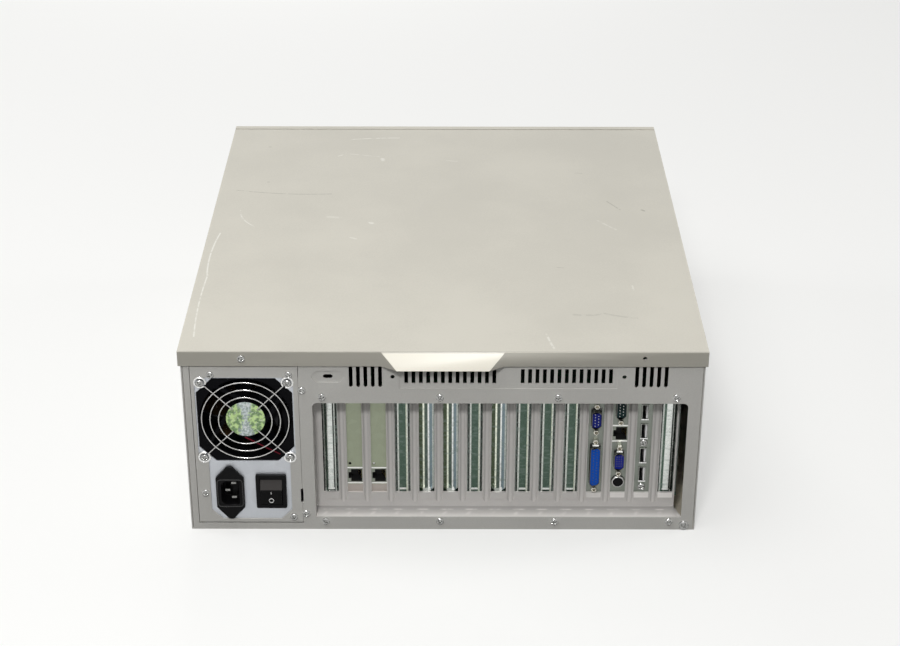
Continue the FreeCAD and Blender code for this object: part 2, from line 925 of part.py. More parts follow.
def twisted_blade(sections):
    """Blade skinned with flat facets; both broad sides fold along the same diagonal."""
    faces = [Part.Face(Part.makePolygon(end + end[:1])) for end in (sections[0], sections[-1])]
    for inner, outer in zip(sections, sections[1:]):
        for k in range(4):
            a, b, c, d = inner[k], inner[k - 1], outer[k - 1], outer[k]
            if k > 1:
                a, b, c, d = b, c, d, a
            faces.append(Part.Face(Part.makePolygon([a, b, c, a])))
            faces.append(Part.Face(Part.makePolygon([a, c, d, a])))
    blade = Part.makeSolid(Part.makeShell(faces))
    if blade.Volume < 0:
        blade.reverse()
    return blade


def fan_rotor(x, y, z, flow):
    """Hub cup, shaft and twisted blades of a fan."""
    start = y + fan_strut + blade_gap
    length = fan_depth - fan_strut - 2 * blade_gap
    tip_r = fan_size / 2 - fan_wall - blade_gap
    cup = bar(V(x, start, z), FORWARD, fan_hub_r - seam, length, hub_sides)
    shaft = rod(V(x, y + blade_gap, z), FORWARD, shaft_r, fan_strut + blade_gap)
    blades = []
    for k in range(fan_blades):
        sections = [
            blade_section(fan_hub_r - blade_gap, flow, blade_root, 0),
            blade_section((fan_hub_r + tip_r) / 2, flow, blade_middle, blade_middle_sweep),
            blade_section(tip_r, flow, blade_tip, blade_sweep),
        ]
        blade = twisted_blade(sections)
        blade.rotate(V(0, 0, 0), ALONG_Y, k * 360 / fan_blades)
        blade.translate(V(x, start + length / 2, z))
        blades.append(blade)
    return cup.fuse([shaft] + blades).removeSplitter()


def ring_outline(radius):
    """Round of the guard, drawn with straight sides."""
    turns = [2 * math.pi * k / guard_sides for k in range(guard_sides)]
    return [(fan_x + radius * math.cos(t), fan_z + radius * math.sin(t)) for t in turns]


def wire_ring(y, radius):
    """Flat round of guard wire."""
    disc = prism_y(ring_outline(radius + wire_r), y - wire_r, y + wire_r)
    return disc.cut(prism_y(ring_outline(radius - wire_r), y - wire_r, y + wire_r))


def psu_fan_guard():
    """Wire guard: three rings on four slanted spokes that end in loops under the fan screws."""
    spoke_y = psu_face - wire_r
    ring_y = spoke_y - ring_nest * wire_r
    parts = [wire_ring(ring_y, guard_r - k * ring_step) for k in range(guard_rings)]
    reach = math.hypot(fan_hole, fan_hole)
    for k in range(4):
        spoke_length = reach - spoke_inner_r - loop_r + 2 * wire_r
        spoke = bar(V(spoke_inner_r, 0, 0), ALONG_X, wire_r - running_fit, spoke_length)
        loop = bar(V(reach, -wire_r, 0), ALONG_Y, loop_r, 2 * wire_r)
        eye = bar(V(reach, -2 * wire_r, 0), ALONG_Y, screw_r + hole_fit, 4 * wire_r)
        arm = spoke.fuse(loop).cut(eye)
        arm.rotate(V(0, 0, 0), ALONG_Y, 45 + 90 * k)
        arm.translate(V(fan_x, spoke_y, fan_z))
        parts.append(arm)
    return parts[0].fuse(parts[1:]).removeSplitter()


def inlet_outline():
    """Upper half of the inlet flange: its waist's corners and the ear that tapers to a round tip."""
    slope = math.atan2(inlet_half - inlet_ear_r, inlet_ear - inlet_waist)
    tip_x = inlet_ear_r * math.cos(slope)
    tip_z = inlet_ear + inlet_ear_r * math.sin(slope)
    return [(inlet_half, inlet_waist), (tip_x, tip_z), (-tip_x, tip_z), (-inlet_half, inlet_waist)]


def mains_inlet():
    """Three-pin appliance inlet: eared flange, body through the supply's face and the socket."""
    x, z = psu_left + inlet_x, psu_floor + inlet_z
    front = psu_face - inlet_flange
    upper = [(x + px, z + pz) for px, pz in inlet_outline()]
    lower = [(px, 2 * z - pz) for px, pz in reversed(upper)]
    flange = prism_y(upper + lower, front, psu_face)
    ears = [rod(V(x, front, z + s * inlet_ear), FORWARD, inlet_ear_r, inlet_flange) for s in (-1, 1)]
    half, waist = inlet_body_half, inlet_body_waist
    body = box(x - half, x + half, psu_face, psu_face + inlet_depth, z - waist, z + waist)
    inlet = flange.fuse(ears + [body]).removeSplitter()
    half, waist, corner = socket_half, socket_waist, socket_corner
    socket = [
        (x + half, z - waist),
        (x + half, z + waist),
        (x - half + corner, z + waist),
        (x - half, z + waist - corner),
        (x - half, z - waist + corner),
        (x - half + corner, z - waist),
    ]
    return inlet.cut(prism_y(socket, front - cut_over, front + socket_depth))


def inlet_blades():
    """Three flat contact blades standing on the socket's floor."""
    x, z = psu_left + inlet_x, psu_floor + inlet_z
    front = psu_face - inlet_flange
    places = [(blade_offset, -blade_step), (-blade_offset, 0), (blade_offset, blade_step)]
    half, thick = blade_width / 2, blade_sheet / 2
    blades = []
    for px, pz in places:
        sides = (x + px - half, x + px + half)
        blades.append(box(*sides, front + blade_recess, front + socket_depth, z + pz - thick, z + pz + thick))
    return Part.makeCompound(blades)


def rocker_pivot():
    """Point on the rocker's turning axis, between the two side walls of the switch."""
    ridge_y = psu_face - switch_bezel - rocker_proud
    y = ridge_y + rocker_ridge * math.cos(math.radians(rocker_tilt / 2))
    return V(psu_right - switch_from_right, y, psu_floor + switch_z)


def rocker_end():
    """End of a rocker half, measured from the turning axis."""
    lean = math.radians(rocker_tilt / 2)
    return rocker_ridge - rocker_reach * math.sin(lean), rocker_reach * math.cos(lean)


def switch_body():
    """Snap-in switch housing: bezel, box behind the supply's face and holes for the rocker's pins."""
    pivot = rocker_pivot()
    x, z = pivot.x, pivot.z
    front = psu_face - switch_bezel
    bezel = box(x - switch_half, x + switch_half, front, psu_face, z - switch_waist, z + switch_waist)
    bezel = round_edges(bezel, bezel_corner, ALONG_Y)
    half, waist = switch_half - switch_wall, switch_waist - switch_wall
    body = box(x - half, x + half, psu_face, psu_face + switch_depth, z - waist, z + waist)
    housing = bezel.fuse(body).removeSplitter()
    half = rocker_half + hole_fit
    waist = math.hypot(*rocker_end()) + hole_fit
    deep = psu_face + switch_depth - switch_wall
    well = box(x - half, x + half, front - cut_over, deep, z - waist, z + waist)
    pin_start = V(x - switch_half, pivot.y, z)
    pin_hole = rod(pin_start, ALONG_X, rocker_pin_r + running_fit, 2 * switch_half)
    return housing.cut([well, pin_hole])


def switch_rocker():
    """Rocker with two slanted halves that meet in a ridge; its upper half is pressed in."""
    pivot = rocker_pivot()
    end_y, end_z = rocker_end()
    half = [(-rocker_ridge, 0), (-end_y, end_z), (-seam, end_z - seam), (2 * rocker_pin_r, 3 * rocker_pin_r)]
    outline = half + [(y, -z) for y, z in reversed(half[1:])]
    body = prism_x(outline, -rocker_half, rocker_half)
    pin_reach = rocker_half + rocker_pin
    pin = rod(V(-pin_reach, 0, 0), ALONG_X, rocker_pin_r, 2 * pin_reach)
    rocker = body.fuse(pin)
    rocker.rotate(V(0, 0, 0), ALONG_X, -rocker_tilt / 2)
    rocker.translate(pivot)
    return rocker


def bracket(number, taper_top, taper_foot):
    """Plain slot bracket: plate with a tapered tongue, and a flange with a screw notch on the shelf."""
    x = slot_x(number)
    top = shelf_top + bracket_sheet
    half = [(bracket_half, top), (bracket_half, taper_top)]
    half += [(tongue_half, taper_foot), (tongue_half, bracket_tip)]
    outline = [(x + px, z) for px, z in half] + [(x - px, z) for px, z in reversed(half)]
    plate = prism_y(outline, slot_back, bracket_back)
    flange_end = slot_back - bracket_reach
    flange = box(x - bracket_half, x + bracket_half, flange_end, slot_back, shelf_top, top)
    notch_half = screw_r + hole_fit
    notch_y = card_screw_y + notch_half
    notch_zs = (shelf_top - cut_over, top + cut_over)
    notch = box(x - notch_half, x + notch_half, flange_end - cut_over, notch_y, *notch_zs)
    return plate.fuse(flange).removeSplitter().cut(notch)


def ridged_cover(number):
    """Blank cover with one tall pressed ridge, open at its foot above a short gap."""
    x = slot_x(number)
    plate = bracket(number, pad_bottom + tongue_slope, pad_bottom)
    front = slot_back - ridge_proud
    top = slot_top - ridge_top_gap
    outline = [(x - ridge_base, slot_back), (x - ridge_flat, front)]
    outline += [(x + ridge_flat, front), (x + ridge_base, slot_back)]
    ridge = prism_z(outline, ridge_bottom, top)
    hollow = prism_z(outline, ridge_bottom, top - bracket_sheet)
    hollow.translate(V(0, bracket_sheet, 0))
    gap_zs = (ridge_bottom - ridge_gap, ridge_bottom)
    gap = box(x - ridge_flat, x + ridge_flat, front, bracket_back + cut_over, *gap_zs)
    return plate.fuse(ridge).cut([hollow, gap]).removeSplitter()


def bead_form(x):
    """Long pressed bead with slanted flanks and ends: two tapered prisms crossed."""
    front = slot_back - bead_proud
    slant = bead_base - bead_flat
    flanks = [(x - bead_base, slot_back), (x + bead_base, slot_back)]
    flanks += [(x + bead_flat, front), (x - bead_flat, front)]
    ends = [(slot_back, bead_bottom), (slot_back, bead_top)]
    ends += [(front, bead_top - slant), (front, bead_bottom + slant)]
    return prism_z(flanks, bead_bottom, bead_top).common(prism_x(ends, x - bead_base, x + bead_base))


def beaded_cover(number):
    """Blank cover with a long bead, narrowing to its tongue above the foot pad."""
    x = slot_x(number)
    plate = bracket(number, bead_bottom, slot_bottom)
    hollow = bead_form(x)
    hollow.translate(V(0, bracket_sheet, 0))
    return plate.fuse(bead_form(x)).cut(hollow).removeSplitter()


def port_cut(number, half, low, high):
    """Opening in a bracket for a connector."""
    x = slot_x(number)
    return box(x - half, x + half, slot_back - cut_over, bracket_back + cut_over, low, high)


def port_bracket(number, cuts):
    """Flat bracket with openings for its connectors."""
    return bracket(number, pad_bottom + tongue_slope, pad_bottom).cut(cuts)


def jack_cut(number, bottom):
    """Opening in a bracket for a network jack."""
    return port_cut(number, jack_half + card_fit, bottom - card_fit, bottom + jack_length + card_fit)


def lan_bracket(number):
    """Network card bracket with the jack's opening and a lamp hole above it."""
    lamp = V(slot_x(number) + jack_lamp_x, slot_back - cut_over, jack_bottom + jack_length + jack_lamp_rise)
    hole = rod(lamp, FORWARD, jack_lamp_r, bracket_sheet + 2 * cut_over)
    return port_bracket(number, [jack_cut(number, jack_bottom), hole])


def network_jack(number, bottom):
    """Square network jack with its plug mouth and the latch step at one side."""
    x = slot_x(number)
    front = slot_back + running_fit
    shell = box(x - jack_half, x + jack_half, front, front + jack_depth, bottom, bottom + jack_length)
    middle = bottom + jack_length / 2
    reach = jack_mouth_length / 2
    deep = front + jack_mouth_depth
    side = x - jack_mouth_half + jack_latch_depth
    mouth = box(side, x + jack_mouth_half, front - cut_over, deep, middle - reach, middle + reach)
    latch_zs = (middle - jack_latch / 2, middle + jack_latch / 2)
    latch = box(x - jack_mouth_half, side, front - cut_over, deep, *latch_zs)
    return shell.cut([mouth, latch])


def network_jacks():
    """The jacks of the two network cards and of the processor card."""
    jacks = [network_jack(number, jack_bottom) for number in lan_slots]
    return Part.makeCompound(jacks + [network_jack(cpu_slot, cpu_jack_bottom)])


def card_board(number, length, height):
    """Upright circuit board whose edge tab stands in its backplane socket."""
    x = slot_x(number) + board_offset
    half = board_thick / 2
    tab_low = socket_base + socket_height - groove_depth + card_fit
    board = box(x - half, x + half, board_start, board_start + length, board_bottom, board_bottom + height)
    tab_end = min(socket_start + socket_length, board_start + length) - tab_inset
    tab = box(x - half, x + half, socket_start + tab_inset, tab_end, tab_low, board_bottom)
    return board.fuse(tab).removeSplitter()


def lan_boards():
    """The two network cards' boards."""
    return Part.makeCompound([card_board(number, lan_board_length, lan_board_height) for number in lan_slots])


def dsub_form(number, z, length, width, y0, y1):
    """D-shaped block with cut corners; its long side is to the left."""
    x = slot_x(number)
    half, reach, cut = width / 2, length / 2, dsub_corner
    upper = [
        (x + half, z + reach - dsub_taper - cut),
        (x + half - cut, z + reach - dsub_taper),
        (x - half + cut, z + reach),
        (x - half, z + reach - cut),
    ]
    return prism_y(upper + [(px, 2 * z - pz) for px, pz in reversed(upper)], y0, y1)


def dsub_shell(number, z, length, posts):
    """Metal shell of a D-type connector with its flange behind the bracket."""
    x = slot_x(number)
    front = slot_back - dsub_reach
    flange_back = bracket_back + dsub_flange
    reach = posts / 2 + post_r
    skirt = dsub_form(number, z, length, dsub_width, front, flange_back)
    half = dsub_flange_half
    flange = box(x - half, x + half, bracket_back, flange_back, z - reach, z + reach)
    inner = 2 * dsub_wall
    ends = (front - cut_over, flange_back + cut_over)
    bore = dsub_form(number, z, length - inner, dsub_width - inner, *ends)
    return skirt.fuse(flange).removeSplitter().cut(bore)


def dsub_insert(number, z, length):
    """Coloured insulator inside a D-type shell, with its block behind the flange."""
    x = slot_x(number)
    inner = 2 * (dsub_wall + running_fit)
    flange_back = bracket_back + dsub_flange
    front = slot_back - dsub_reach + 2 * dsub_wall
    core = dsub_form(number, z, length - inner, dsub_width - inner, front, flange_back)
    half, reach = dsub_width / 2, length / 2
    block = box(x - half, x + half, flange_back, flange_back + dsub_body, z - reach, z + reach)
    return core.fuse(block).removeSplitter()


def dsub_ports():
    """Slot, height, shell length and post spacing of each D-type connector."""
    return [
        (port_slot, serial_z, nine_way, nine_way_posts),
        (port_slot, parallel_z, twentyfive_way, twentyfive_way_posts),
        (cpu_slot, com_z, nine_way, nine_way_posts),
        (cpu_slot, video_z, nine_way, nine_way_posts),
    ]


def dsub_cut(port):
    """Opening in a bracket for a D-type shell."""
    number, z, length, posts = port
    return port_cut(number, dsub_width / 2 + card_fit, z - length / 2 - card_fit, z + length / 2 + card_fit)


def connector_shells():
    """Metal shells of all the D-type connectors."""
    return Part.makeCompound([dsub_shell(*port) for port in dsub_ports()])


def hexagon(radius):
    """Six corners of a nut or post."""
    turns = [math.radians(60 * k) for k in range(6)]
    return [(radius * math.cos(t), radius * math.sin(t)) for t in turns]


def jack_posts():
    """Hexagon posts at both ends of each D-type connector, standing on the bracket."""
    posts = []
    for number, z, length, spacing in dsub_ports():
        for end in (-1, 1):
            outline = [(slot_x(number) + px, z + end * spacing / 2 + pz) for px, pz in hexagon(post_r)]
            posts.append(prism_y(outline, slot_back - post_length, slot_back))
    return Part.makeCompound(posts)


def cpu_bracket():
    """Processor card's bracket with openings for its four connectors."""
    ports = [port for port in dsub_ports() if port[0] == cpu_slot]
    cuts = [dsub_cut(port) for port in ports]
    cuts.append(jack_cut(cpu_slot, cpu_jack_bottom))
    round_hole = V(slot_x(cpu_slot), slot_back - cut_over, keyboard_z)
    cuts.append(rod(round_hole, FORWARD, keyboard_r + card_fit, bracket_sheet + 2 * cut_over))
    return port_bracket(cpu_slot, cuts)


def keyboard_port():
    """Round keyboard socket on its block behind the bracket."""
    x = slot_x(cpu_slot)
    front = slot_back - keyboard_proud
    body = rod(V(x, front, keyboard_z), FORWARD, keyboard_r, keyboard_depth)
    rim = card_side
    block = box(x - rim, x + rim, bracket_back, front + keyboard_depth, keyboard_z - rim, keyboard_z + rim)
    return body.fuse(block)


def usb_cut(bottom):
    """Opening in the bracket for one USB port."""
    return port_cut(usb_slot, usb_half + card_fit, bottom - card_fit, bottom + usb_length + card_fit)


def usb_bracket():
    """Bracket for four upright USB ports and their screws."""
    cuts = [usb_cut(bottom) for bottom in usb_bottoms]
    cuts += [screw_hole(seat, REARWARD) for seat in usb_screw_seats()]
    return port_bracket(usb_slot, cuts)


def usb_ports():
    """Folded metal shells of the USB ports, closed at the back."""
    x = slot_x(usb_slot)
    front = slot_back - 2 * usb_wall
    back = front + usb_depth
    shells = []
    for low in usb_bottoms:
        shell = box(x - usb_half, x + usb_half, front, back, low, low + usb_length)
        half = usb_half - usb_wall
        high = low + usb_length - usb_wall
        mouth = box(x - half, x + half, front - cut_over, back - usb_wall, low + usb_wall, high)
        shells.append(shell.cut(mouth))
    return Part.makeCompound(shells)


def cpu_heatsink():
    """Finned heatsink on the processor board."""
    x = slot_x(cpu_slot) + board_offset + board_thick / 2
    low = board_bottom + (cpu_board_height - heatsink_size) / 2
    base = box(x, x + heatsink_base, heatsink_y, heatsink_y + heatsink_size, low, low + heatsink_size)
    step = heatsink_size / (2 * heatsink_fins - 1)
    tip = x + heatsink_base + heatsink_reach
    fins = []
    for k in range(heatsink_fins):
        z = low + 2 * k * step
        fins.append(box(x, tip, heatsink_y, heatsink_y + heatsink_size, z, z + step))
    return base.fuse(fins).removeSplitter()


def backplane():
    """Level circuit board under the cards."""
    return box(window_left, window_right, backplane_start, backplane_end, backplane_z, socket_base)


def standoffs():
    """Hexagon standoffs between the floor and the backplane."""
    xs = (window_left + standoff_inset, window_centre, window_right - standoff_inset)
    ys = (backplane_start + standoff_inset, backplane_end - standoff_inset)
    posts = []
    for x in xs:
        for y in ys:
            posts.append(prism_z([(x + px, y + py) for px, py in hexagon(standoff_r)], sheet, backplane_z))
    return Part.makeCompound(posts)


def card_sockets():
    """One grooved edge socket for each slot."""
    half, groove_half = socket_width / 2, board_thick / 2 + card_fit
    top = socket_base + socket_height
    end = socket_start + socket_length
    sockets = []
    for number in range(1, slot_count + 1):
        x = slot_x(number) + board_offset
        outline = [
            (x - half, socket_base),
            (x + half, socket_base),
            (x + half, top),
            (x + groove_half, top),
            (x + groove_half, top - groove_depth),
            (x - groove_half, top - groove_depth),
            (x - groove_half, top),
            (x - half, top),
        ]
        sockets.append(prism_y(outline, socket_start, end))
    return Part.makeCompound(sockets)


def hold_down_bar():
    """Folded channel across the case, with end tabs against the side walls."""
    y0, y1 = bar_y - bar_width / 2, bar_y + bar_width / 2
    low = bar_top - bar_side
    outline = [
        (y0, low),
        (y0, bar_top),
        (y1, bar_top),
        (y1, low),
        (y1 - sheet, low),
        (y1 - sheet, bar_top - sheet),
        (y0 + sheet, bar_top - sheet),
        (y0 + sheet, low),
    ]
    channel = prism_x(outline, -wall_inner, wall_inner)
    tabs = []
    for x in (-wall_inner, wall_inner - sheet):
        tabs.append(box(x, x + sheet, y0, y1, low - bar_side, bar_top))
    return channel.fuse(tabs).removeSplitter()


def card_pads():
    """Rubber pads that hang from the bar and press on the cards' top edges."""
    half = card_pad_width / 2
    start = bar_y - card_pad_length / 2
    x = slot_x(cpu_slot) + board_offset
    low = board_bottom + cpu_board_height
    return box(x - half, x + half, start, start + card_pad_length, low, bar_top - sheet)


def front_panel():
    """Front plate with lips on three sides, a framed door opening and the intake grille."""
    back = case_depth - front_lip
    panel = box(-cover_half, cover_half, panel_back, case_depth, 0, case_height)
    folds = [box(-cover_half, cover_half, back, panel_back, case_height - sheet, case_height)]
    folds.append(box(cover_half - sheet, cover_half, back, panel_back, 0, case_height - sheet))
    folds.append(box(-cover_half, sheet - cover_half, back, panel_back, 0, case_height - sheet))
    left, right, low, high = door_opening()
    frame_back = case_depth - door_return - sheet
    for z in (low - sheet, high):
        folds.append(box(left, right, frame_back, panel_back, z, z + sheet))
    panel = panel.fuse(folds).removeSplitter()
    through = (panel_back - cut_over, case_depth + cut_over)
    cuts = [box(left, right, *through, low, high)]
    pivot = door_pivot()
    pivot_low = V(pivot.x, pivot.y, low - 2 * sheet)
    cuts.append(rod(pivot_low, ALONG_Z, pivot_r + running_fit, high - low + 4 * sheet))
    half = grille_slot / 2
    for k in range(grille_slots):
        x = intake_x + (k - (grille_slots - 1) / 2) * grille_pitch
        low, high = intake_z - grille_height / 2, intake_z + grille_height / 2
        cuts.append(box(x - half, x + half, *through, low, high))
    cuts += [screw_hole(seat, FORWARD) for seat in intake_screw_seats()]
    for z, radius in ((power_z, power_r), (reset_z, reset_r)):
        start = V(button_x, panel_back - cut_over, z)
        cuts.append(rod(start, FORWARD, radius + hole_fit, sheet + 2 * cut_over))
    for z in lamp_zs:
        cuts.append(lamp_block(z, running_fit))
    return panel.cut(cuts)


def door_opening():
    """Edges of the door opening: left, right, bottom and top."""
    left = -wall_x + door_inset
    right = left + door_width
    return (left - door_gap, right + seam, door_bottom - seam, door_bottom + door_height + seam)


def door_pivot():
    """Point on the door's upright hinge axis."""
    return V(-wall_x + door_inset + pivot_inset, case_depth - pivot_inset, 0)


def front_door():
    """Hinged door: flush plate with returns above and below that carry its pivot pins."""
    left = -wall_x + door_inset
    right = left + door_width
    low, high = door_bottom, door_bottom + door_height
    door = box(left, right, panel_back, case_depth, low, high)
    back = case_depth - door_return
    returns = [box(left, right, back, panel_back, z, z + sheet) for z in (low, high - sheet)]
    pivot = door_pivot()
    pins = [
        rod(V(pivot.x, pivot.y, low - pivot_length + seam), ALONG_Z, pivot_r, pivot_length),
        rod(V(pivot.x, pivot.y, high - seam), ALONG_Z, pivot_r, pivot_length),
    ]
    door = door.fuse(returns + pins).removeSplitter()
    middle = V(right, panel_back - cut_over, (low + high) / 2)
    return door.cut(rod(middle, FORWARD, finger_notch_r, sheet + 2 * cut_over))


def cage_span():
    """Left and right faces of the drive cage, in the middle of the door opening."""
    middle = -wall_x + door_inset + door_width / 2
    return middle - cage_width / 2, middle + cage_width / 2


def cage_ys():
    """Rear and front ends of the drive cage."""
    front = case_depth - door_return - sheet - cage_setback
    return front - cage_depth, front


def drive_cage():
    """Folded cage: feet on the floor, two sides and a top."""
    left, right = cage_span()
    middle = (left + right) / 2
    top = sheet + cage_height
    half = [
        (right + cage_foot, sheet),
        (right + cage_foot, 2 * sheet),
        (right, 2 * sheet),
        (right, top),
    ]
    inner = [(right - sheet, top - sheet), (right - sheet, sheet)]
    outer_left = [(2 * middle - x, z) for x, z in reversed(half)]
    inner_left = [(2 * middle - x, z) for x, z in reversed(inner)]
    outline = half + outer_left + inner_left + inner
    return prism_y(outline, *cage_ys()).fuse(disk_shelf()).removeSplitter()


def bay_blank(number):
    """Plastic blank in the mouth of a drive bay, counted from the top: a tray open at the back."""
    left, right = cage_span()
    rear, front = cage_ys()
    high = cage_height - 2 * seam - (number - 1) * (bay_height + seam)
    left, right = left + sheet, right - sheet
    blank = box(left, right, front - bay_depth, front + seam, high - bay_height, high)
    wall = 2 * sheet
    low = high - bay_height
    start = front - bay_depth - cut_over
    hollow = box(left + wall, right - wall, start, front - wall, low + wall, high - wall)
    return blank.cut(hollow)


def bay_blanks():
    """Blanks of the two upper drive bays."""
    return Part.makeCompound([bay_blank(number) for number in (1, 2)])


def disk_shelf():
    """Folded shelf welded between the cage's sides, which carries the hard disk."""
    left, right = cage_span()
    left, right = left + sheet, right - sheet
    low = disk_shelf_z
    outline = [
        (left, low),
        (right, low),
        (right, low + flange_width),
        (right - sheet, low + flange_width),
        (right - sheet, low + sheet),
        (left + sheet, low + sheet),
        (left + sheet, low + flange_width),
        (left, low + flange_width),
    ]
    rear, front = cage_ys()
    return prism_y(outline, rear, front - disk_setback)


def hard_disk():
    """Three-and-a-half-inch disk drive: cast body with a stepped lid."""
    left, right = cage_span()
    middle = (left + right) / 2
    rear, front = cage_ys()
    low = disk_shelf_z + sheet
    half = disk_width / 2
    start = front - disk_setback - disk_length
    body_high = low + disk_height - disk_lid
    body = box(middle - half, middle + half, start, start + disk_length, low, body_high)
    inset = disk_setback
    span = (start + 2 * inset, start + disk_length - inset)
    lid = box(middle - half + inset, middle + half - inset, *span, low, low + disk_height)
    return body.fuse(lid).removeSplitter()


def button_block():
    """Switch block on feet behind the front panel, with a square bore for each button's stem."""
    half = button_block_half
    front = panel_back - button_cap + button_proud + sheet - button_travel_room
    low, high = reset_z - reset_r - button_block_over, power_z + power_r + button_block_over
    block = box(button_x - half, button_x + half, front - button_block_depth, front, low, high)
    xs = square(button_x, half)
    feet = [box(*xs, front, panel_back, z, z + block_foot) for z in (low, high - block_foot)]
    bores = []
    bore = button_stem_half + running_fit
    for z in (power_z, reset_z):
        span = (front - button_block_depth - cut_over, front + cut_over)
        bores.append(box(*square(button_x, bore), *span, *square(z, bore)))
    return block.fuse(feet).removeSplitter().cut(bores)


def square(middle, half):
    """Two ends of a span about its middle."""
    return middle - half, middle + half


def push_button(z, radius):
    """Round push button with a square stem in the switch block."""
    face = case_depth + button_proud
    cap = rod(V(button_x, face, z), REARWARD, radius, button_cap)
    back = face - button_cap
    half = button_stem_half
    stem = box(*square(button_x, half), back - button_stem, back, *square(z, half))
    return cap.fuse(stem)


def lamp_block(z, fit):
    """Rectangular light pipe through the front panel, or its hole."""
    xs = square(button_x, lamp_half_width + fit)
    return box(*xs, case_depth - lamp_depth, case_depth, *square(z, lamp_half_height + fit))


def status_lamps():
    """Two lamp lenses in the front panel."""
    return Part.makeCompound([lamp_block(z, 0) for z in lamp_zs])


def machine_screws():
    """All the pan-head machine screws of the case."""
    rear = bay_screw_seats() + plate_screw_seats()
    rear += psu_screw_seats() + fan_screw_seats() + usb_screw_seats()
    screws = [screw(seat, REARWARD) for seat in rear]
    screws.append(screw(corner_screw_seat(), REARWARD, corner_head_r))
    screws += [screw(seat, ALONG_Z) for seat in card_screw_seats()]
    screws += [screw(seat, FORWARD) for seat in intake_screw_seats()]
    return Part.makeCompound(screws)


def save(name, shape):
    """Move a piece to the part's origin and write it."""
    placed = shape.copy()
    placed.translate(V(0, rear_face, 0))
    placed.exportStep("parts/" + name + ".step")


def all_pieces():
    """Every piece of the case by name."""
    inner_face = psu_face + psu_sheet
    intake_y = panel_back - fan_depth
    pieces = {
        "chassis_tray": chassis_tray(),
        "rear_panel": rear_panel(),
        "slot_bay": slot_bay(),
        "top_cover": top_cover(),
        "cover_screw": screw(cover_screw_seat(-1), REARWARD),
        "psu_plate": psu_plate(),
        "psu_case": psu_case(),
        "psu_lid": psu_lid(),
        "psu_board": psu_board(),
        "psu_fan_frame": fan_frame(fan_x, inner_face, fan_z),
        "psu_fan_rotor": fan_rotor(fan_x, inner_face, fan_z, 1),
        "psu_fan_guard": psu_fan_guard(),
        "mains_inlet": mains_inlet(),
        "inlet_blades": inlet_blades(),
        "switch_body": switch_body(),
        "switch_rocker": switch_rocker(),
        "serial_bracket": port_bracket(port_slot, [dsub_cut(port) for port in dsub_ports()[:2]]),
        "serial_port": dsub_insert(port_slot, serial_z, nine_way),
        "parallel_port": dsub_insert(port_slot, parallel_z, twentyfive_way),
        "cpu_bracket": cpu_bracket(),
        "cpu_board": card_board(cpu_slot, cpu_board_length, cpu_board_height),
        "cpu_heatsink": cpu_heatsink(),
        "com_port": dsub_insert(cpu_slot, com_z, nine_way),
        "network_jacks": network_jacks(),
        "lan_boards": lan_boards(),
        "bay_blanks": bay_blanks(),
        "video_port": dsub_insert(cpu_slot, video_z, nine_way),
        "keyboard_port": keyboard_port(),
        "usb_bracket": usb_bracket(),
        "usb_ports": usb_ports(),
        "connector_shells": connector_shells(),
        "jack_posts": jack_posts(),
        "backplane": backplane(),
        "standoffs": standoffs(),
        "card_sockets": card_sockets(),
        "hold_down_bar": hold_down_bar(),
        "card_pads": card_pads(),
        "front_panel": front_panel(),
        "front_door": front_door(),
        "drive_cage": drive_cage(),
        "hard_disk": hard_disk(),
        "intake_fan_frame": fan_frame(intake_x, intake_y, intake_z),
        "intake_fan_rotor": fan_rotor(intake_x, intake_y, intake_z, -1),
        "button_block": button_block(),
        "power_button": push_button(power_z, power_r),
        "reset_button": push_button(reset_z, reset_r),
        "status_lamps": status_lamps(),
        "machine_screws": machine_screws(),
    }
    for number in ridged_slots:
        pieces["slot_cover_%02d" % number] = ridged_cover(number)
    for number in beaded_slots:
        pieces["slot_cover_%02d" % number] = beaded_cover(number)
    for order, number in enumerate(lan_slots, 1):
        pieces["lan_bracket_%d" % order] = lan_bracket(number)
    return pieces


os.makedirs("parts", exist_ok=True)
for piece_name, piece in all_pieces().items():
    save(piece_name, piece)
print("case", round(body_width, 2), "wide", round(case_height, 2), "high", case_depth, "deep")
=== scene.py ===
# %% [markdown]
# # A rack computer case, dressed from behind
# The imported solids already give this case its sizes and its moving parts. This lesson adds what the eye
# needs: paint and plating, softened folds, round guard wire, driven screws, contacts and scratches.
# Every new piece rides on one of the case's bodies, so it follows the cover, the fans and the door.

# %% Load the solids
import json
import math

import bmesh
import bpy
import numpy as np
from mathutils import Matrix, Vector


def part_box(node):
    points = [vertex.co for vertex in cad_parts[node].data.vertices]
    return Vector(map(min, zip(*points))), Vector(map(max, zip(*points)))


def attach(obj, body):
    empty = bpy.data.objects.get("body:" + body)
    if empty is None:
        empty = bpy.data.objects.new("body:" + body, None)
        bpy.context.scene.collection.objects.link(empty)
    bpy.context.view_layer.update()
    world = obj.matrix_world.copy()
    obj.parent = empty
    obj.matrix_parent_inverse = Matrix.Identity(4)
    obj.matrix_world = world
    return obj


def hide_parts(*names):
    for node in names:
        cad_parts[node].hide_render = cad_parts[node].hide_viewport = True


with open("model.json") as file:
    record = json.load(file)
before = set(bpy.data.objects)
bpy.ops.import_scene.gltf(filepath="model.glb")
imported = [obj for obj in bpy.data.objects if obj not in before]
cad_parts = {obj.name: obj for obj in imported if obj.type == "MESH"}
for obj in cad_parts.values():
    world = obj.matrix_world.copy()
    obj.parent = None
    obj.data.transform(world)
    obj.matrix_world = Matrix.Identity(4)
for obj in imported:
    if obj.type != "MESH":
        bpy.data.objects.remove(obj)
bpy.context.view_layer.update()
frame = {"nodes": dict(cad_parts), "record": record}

bodies = frame["record"]["behaviour"]["bodies"]
body_of = {node: body for body, nodes in bodies.items() for node in nodes}
slot_of = {part["node"]: part["material_slot"] for part in frame["record"]["subparts"]}

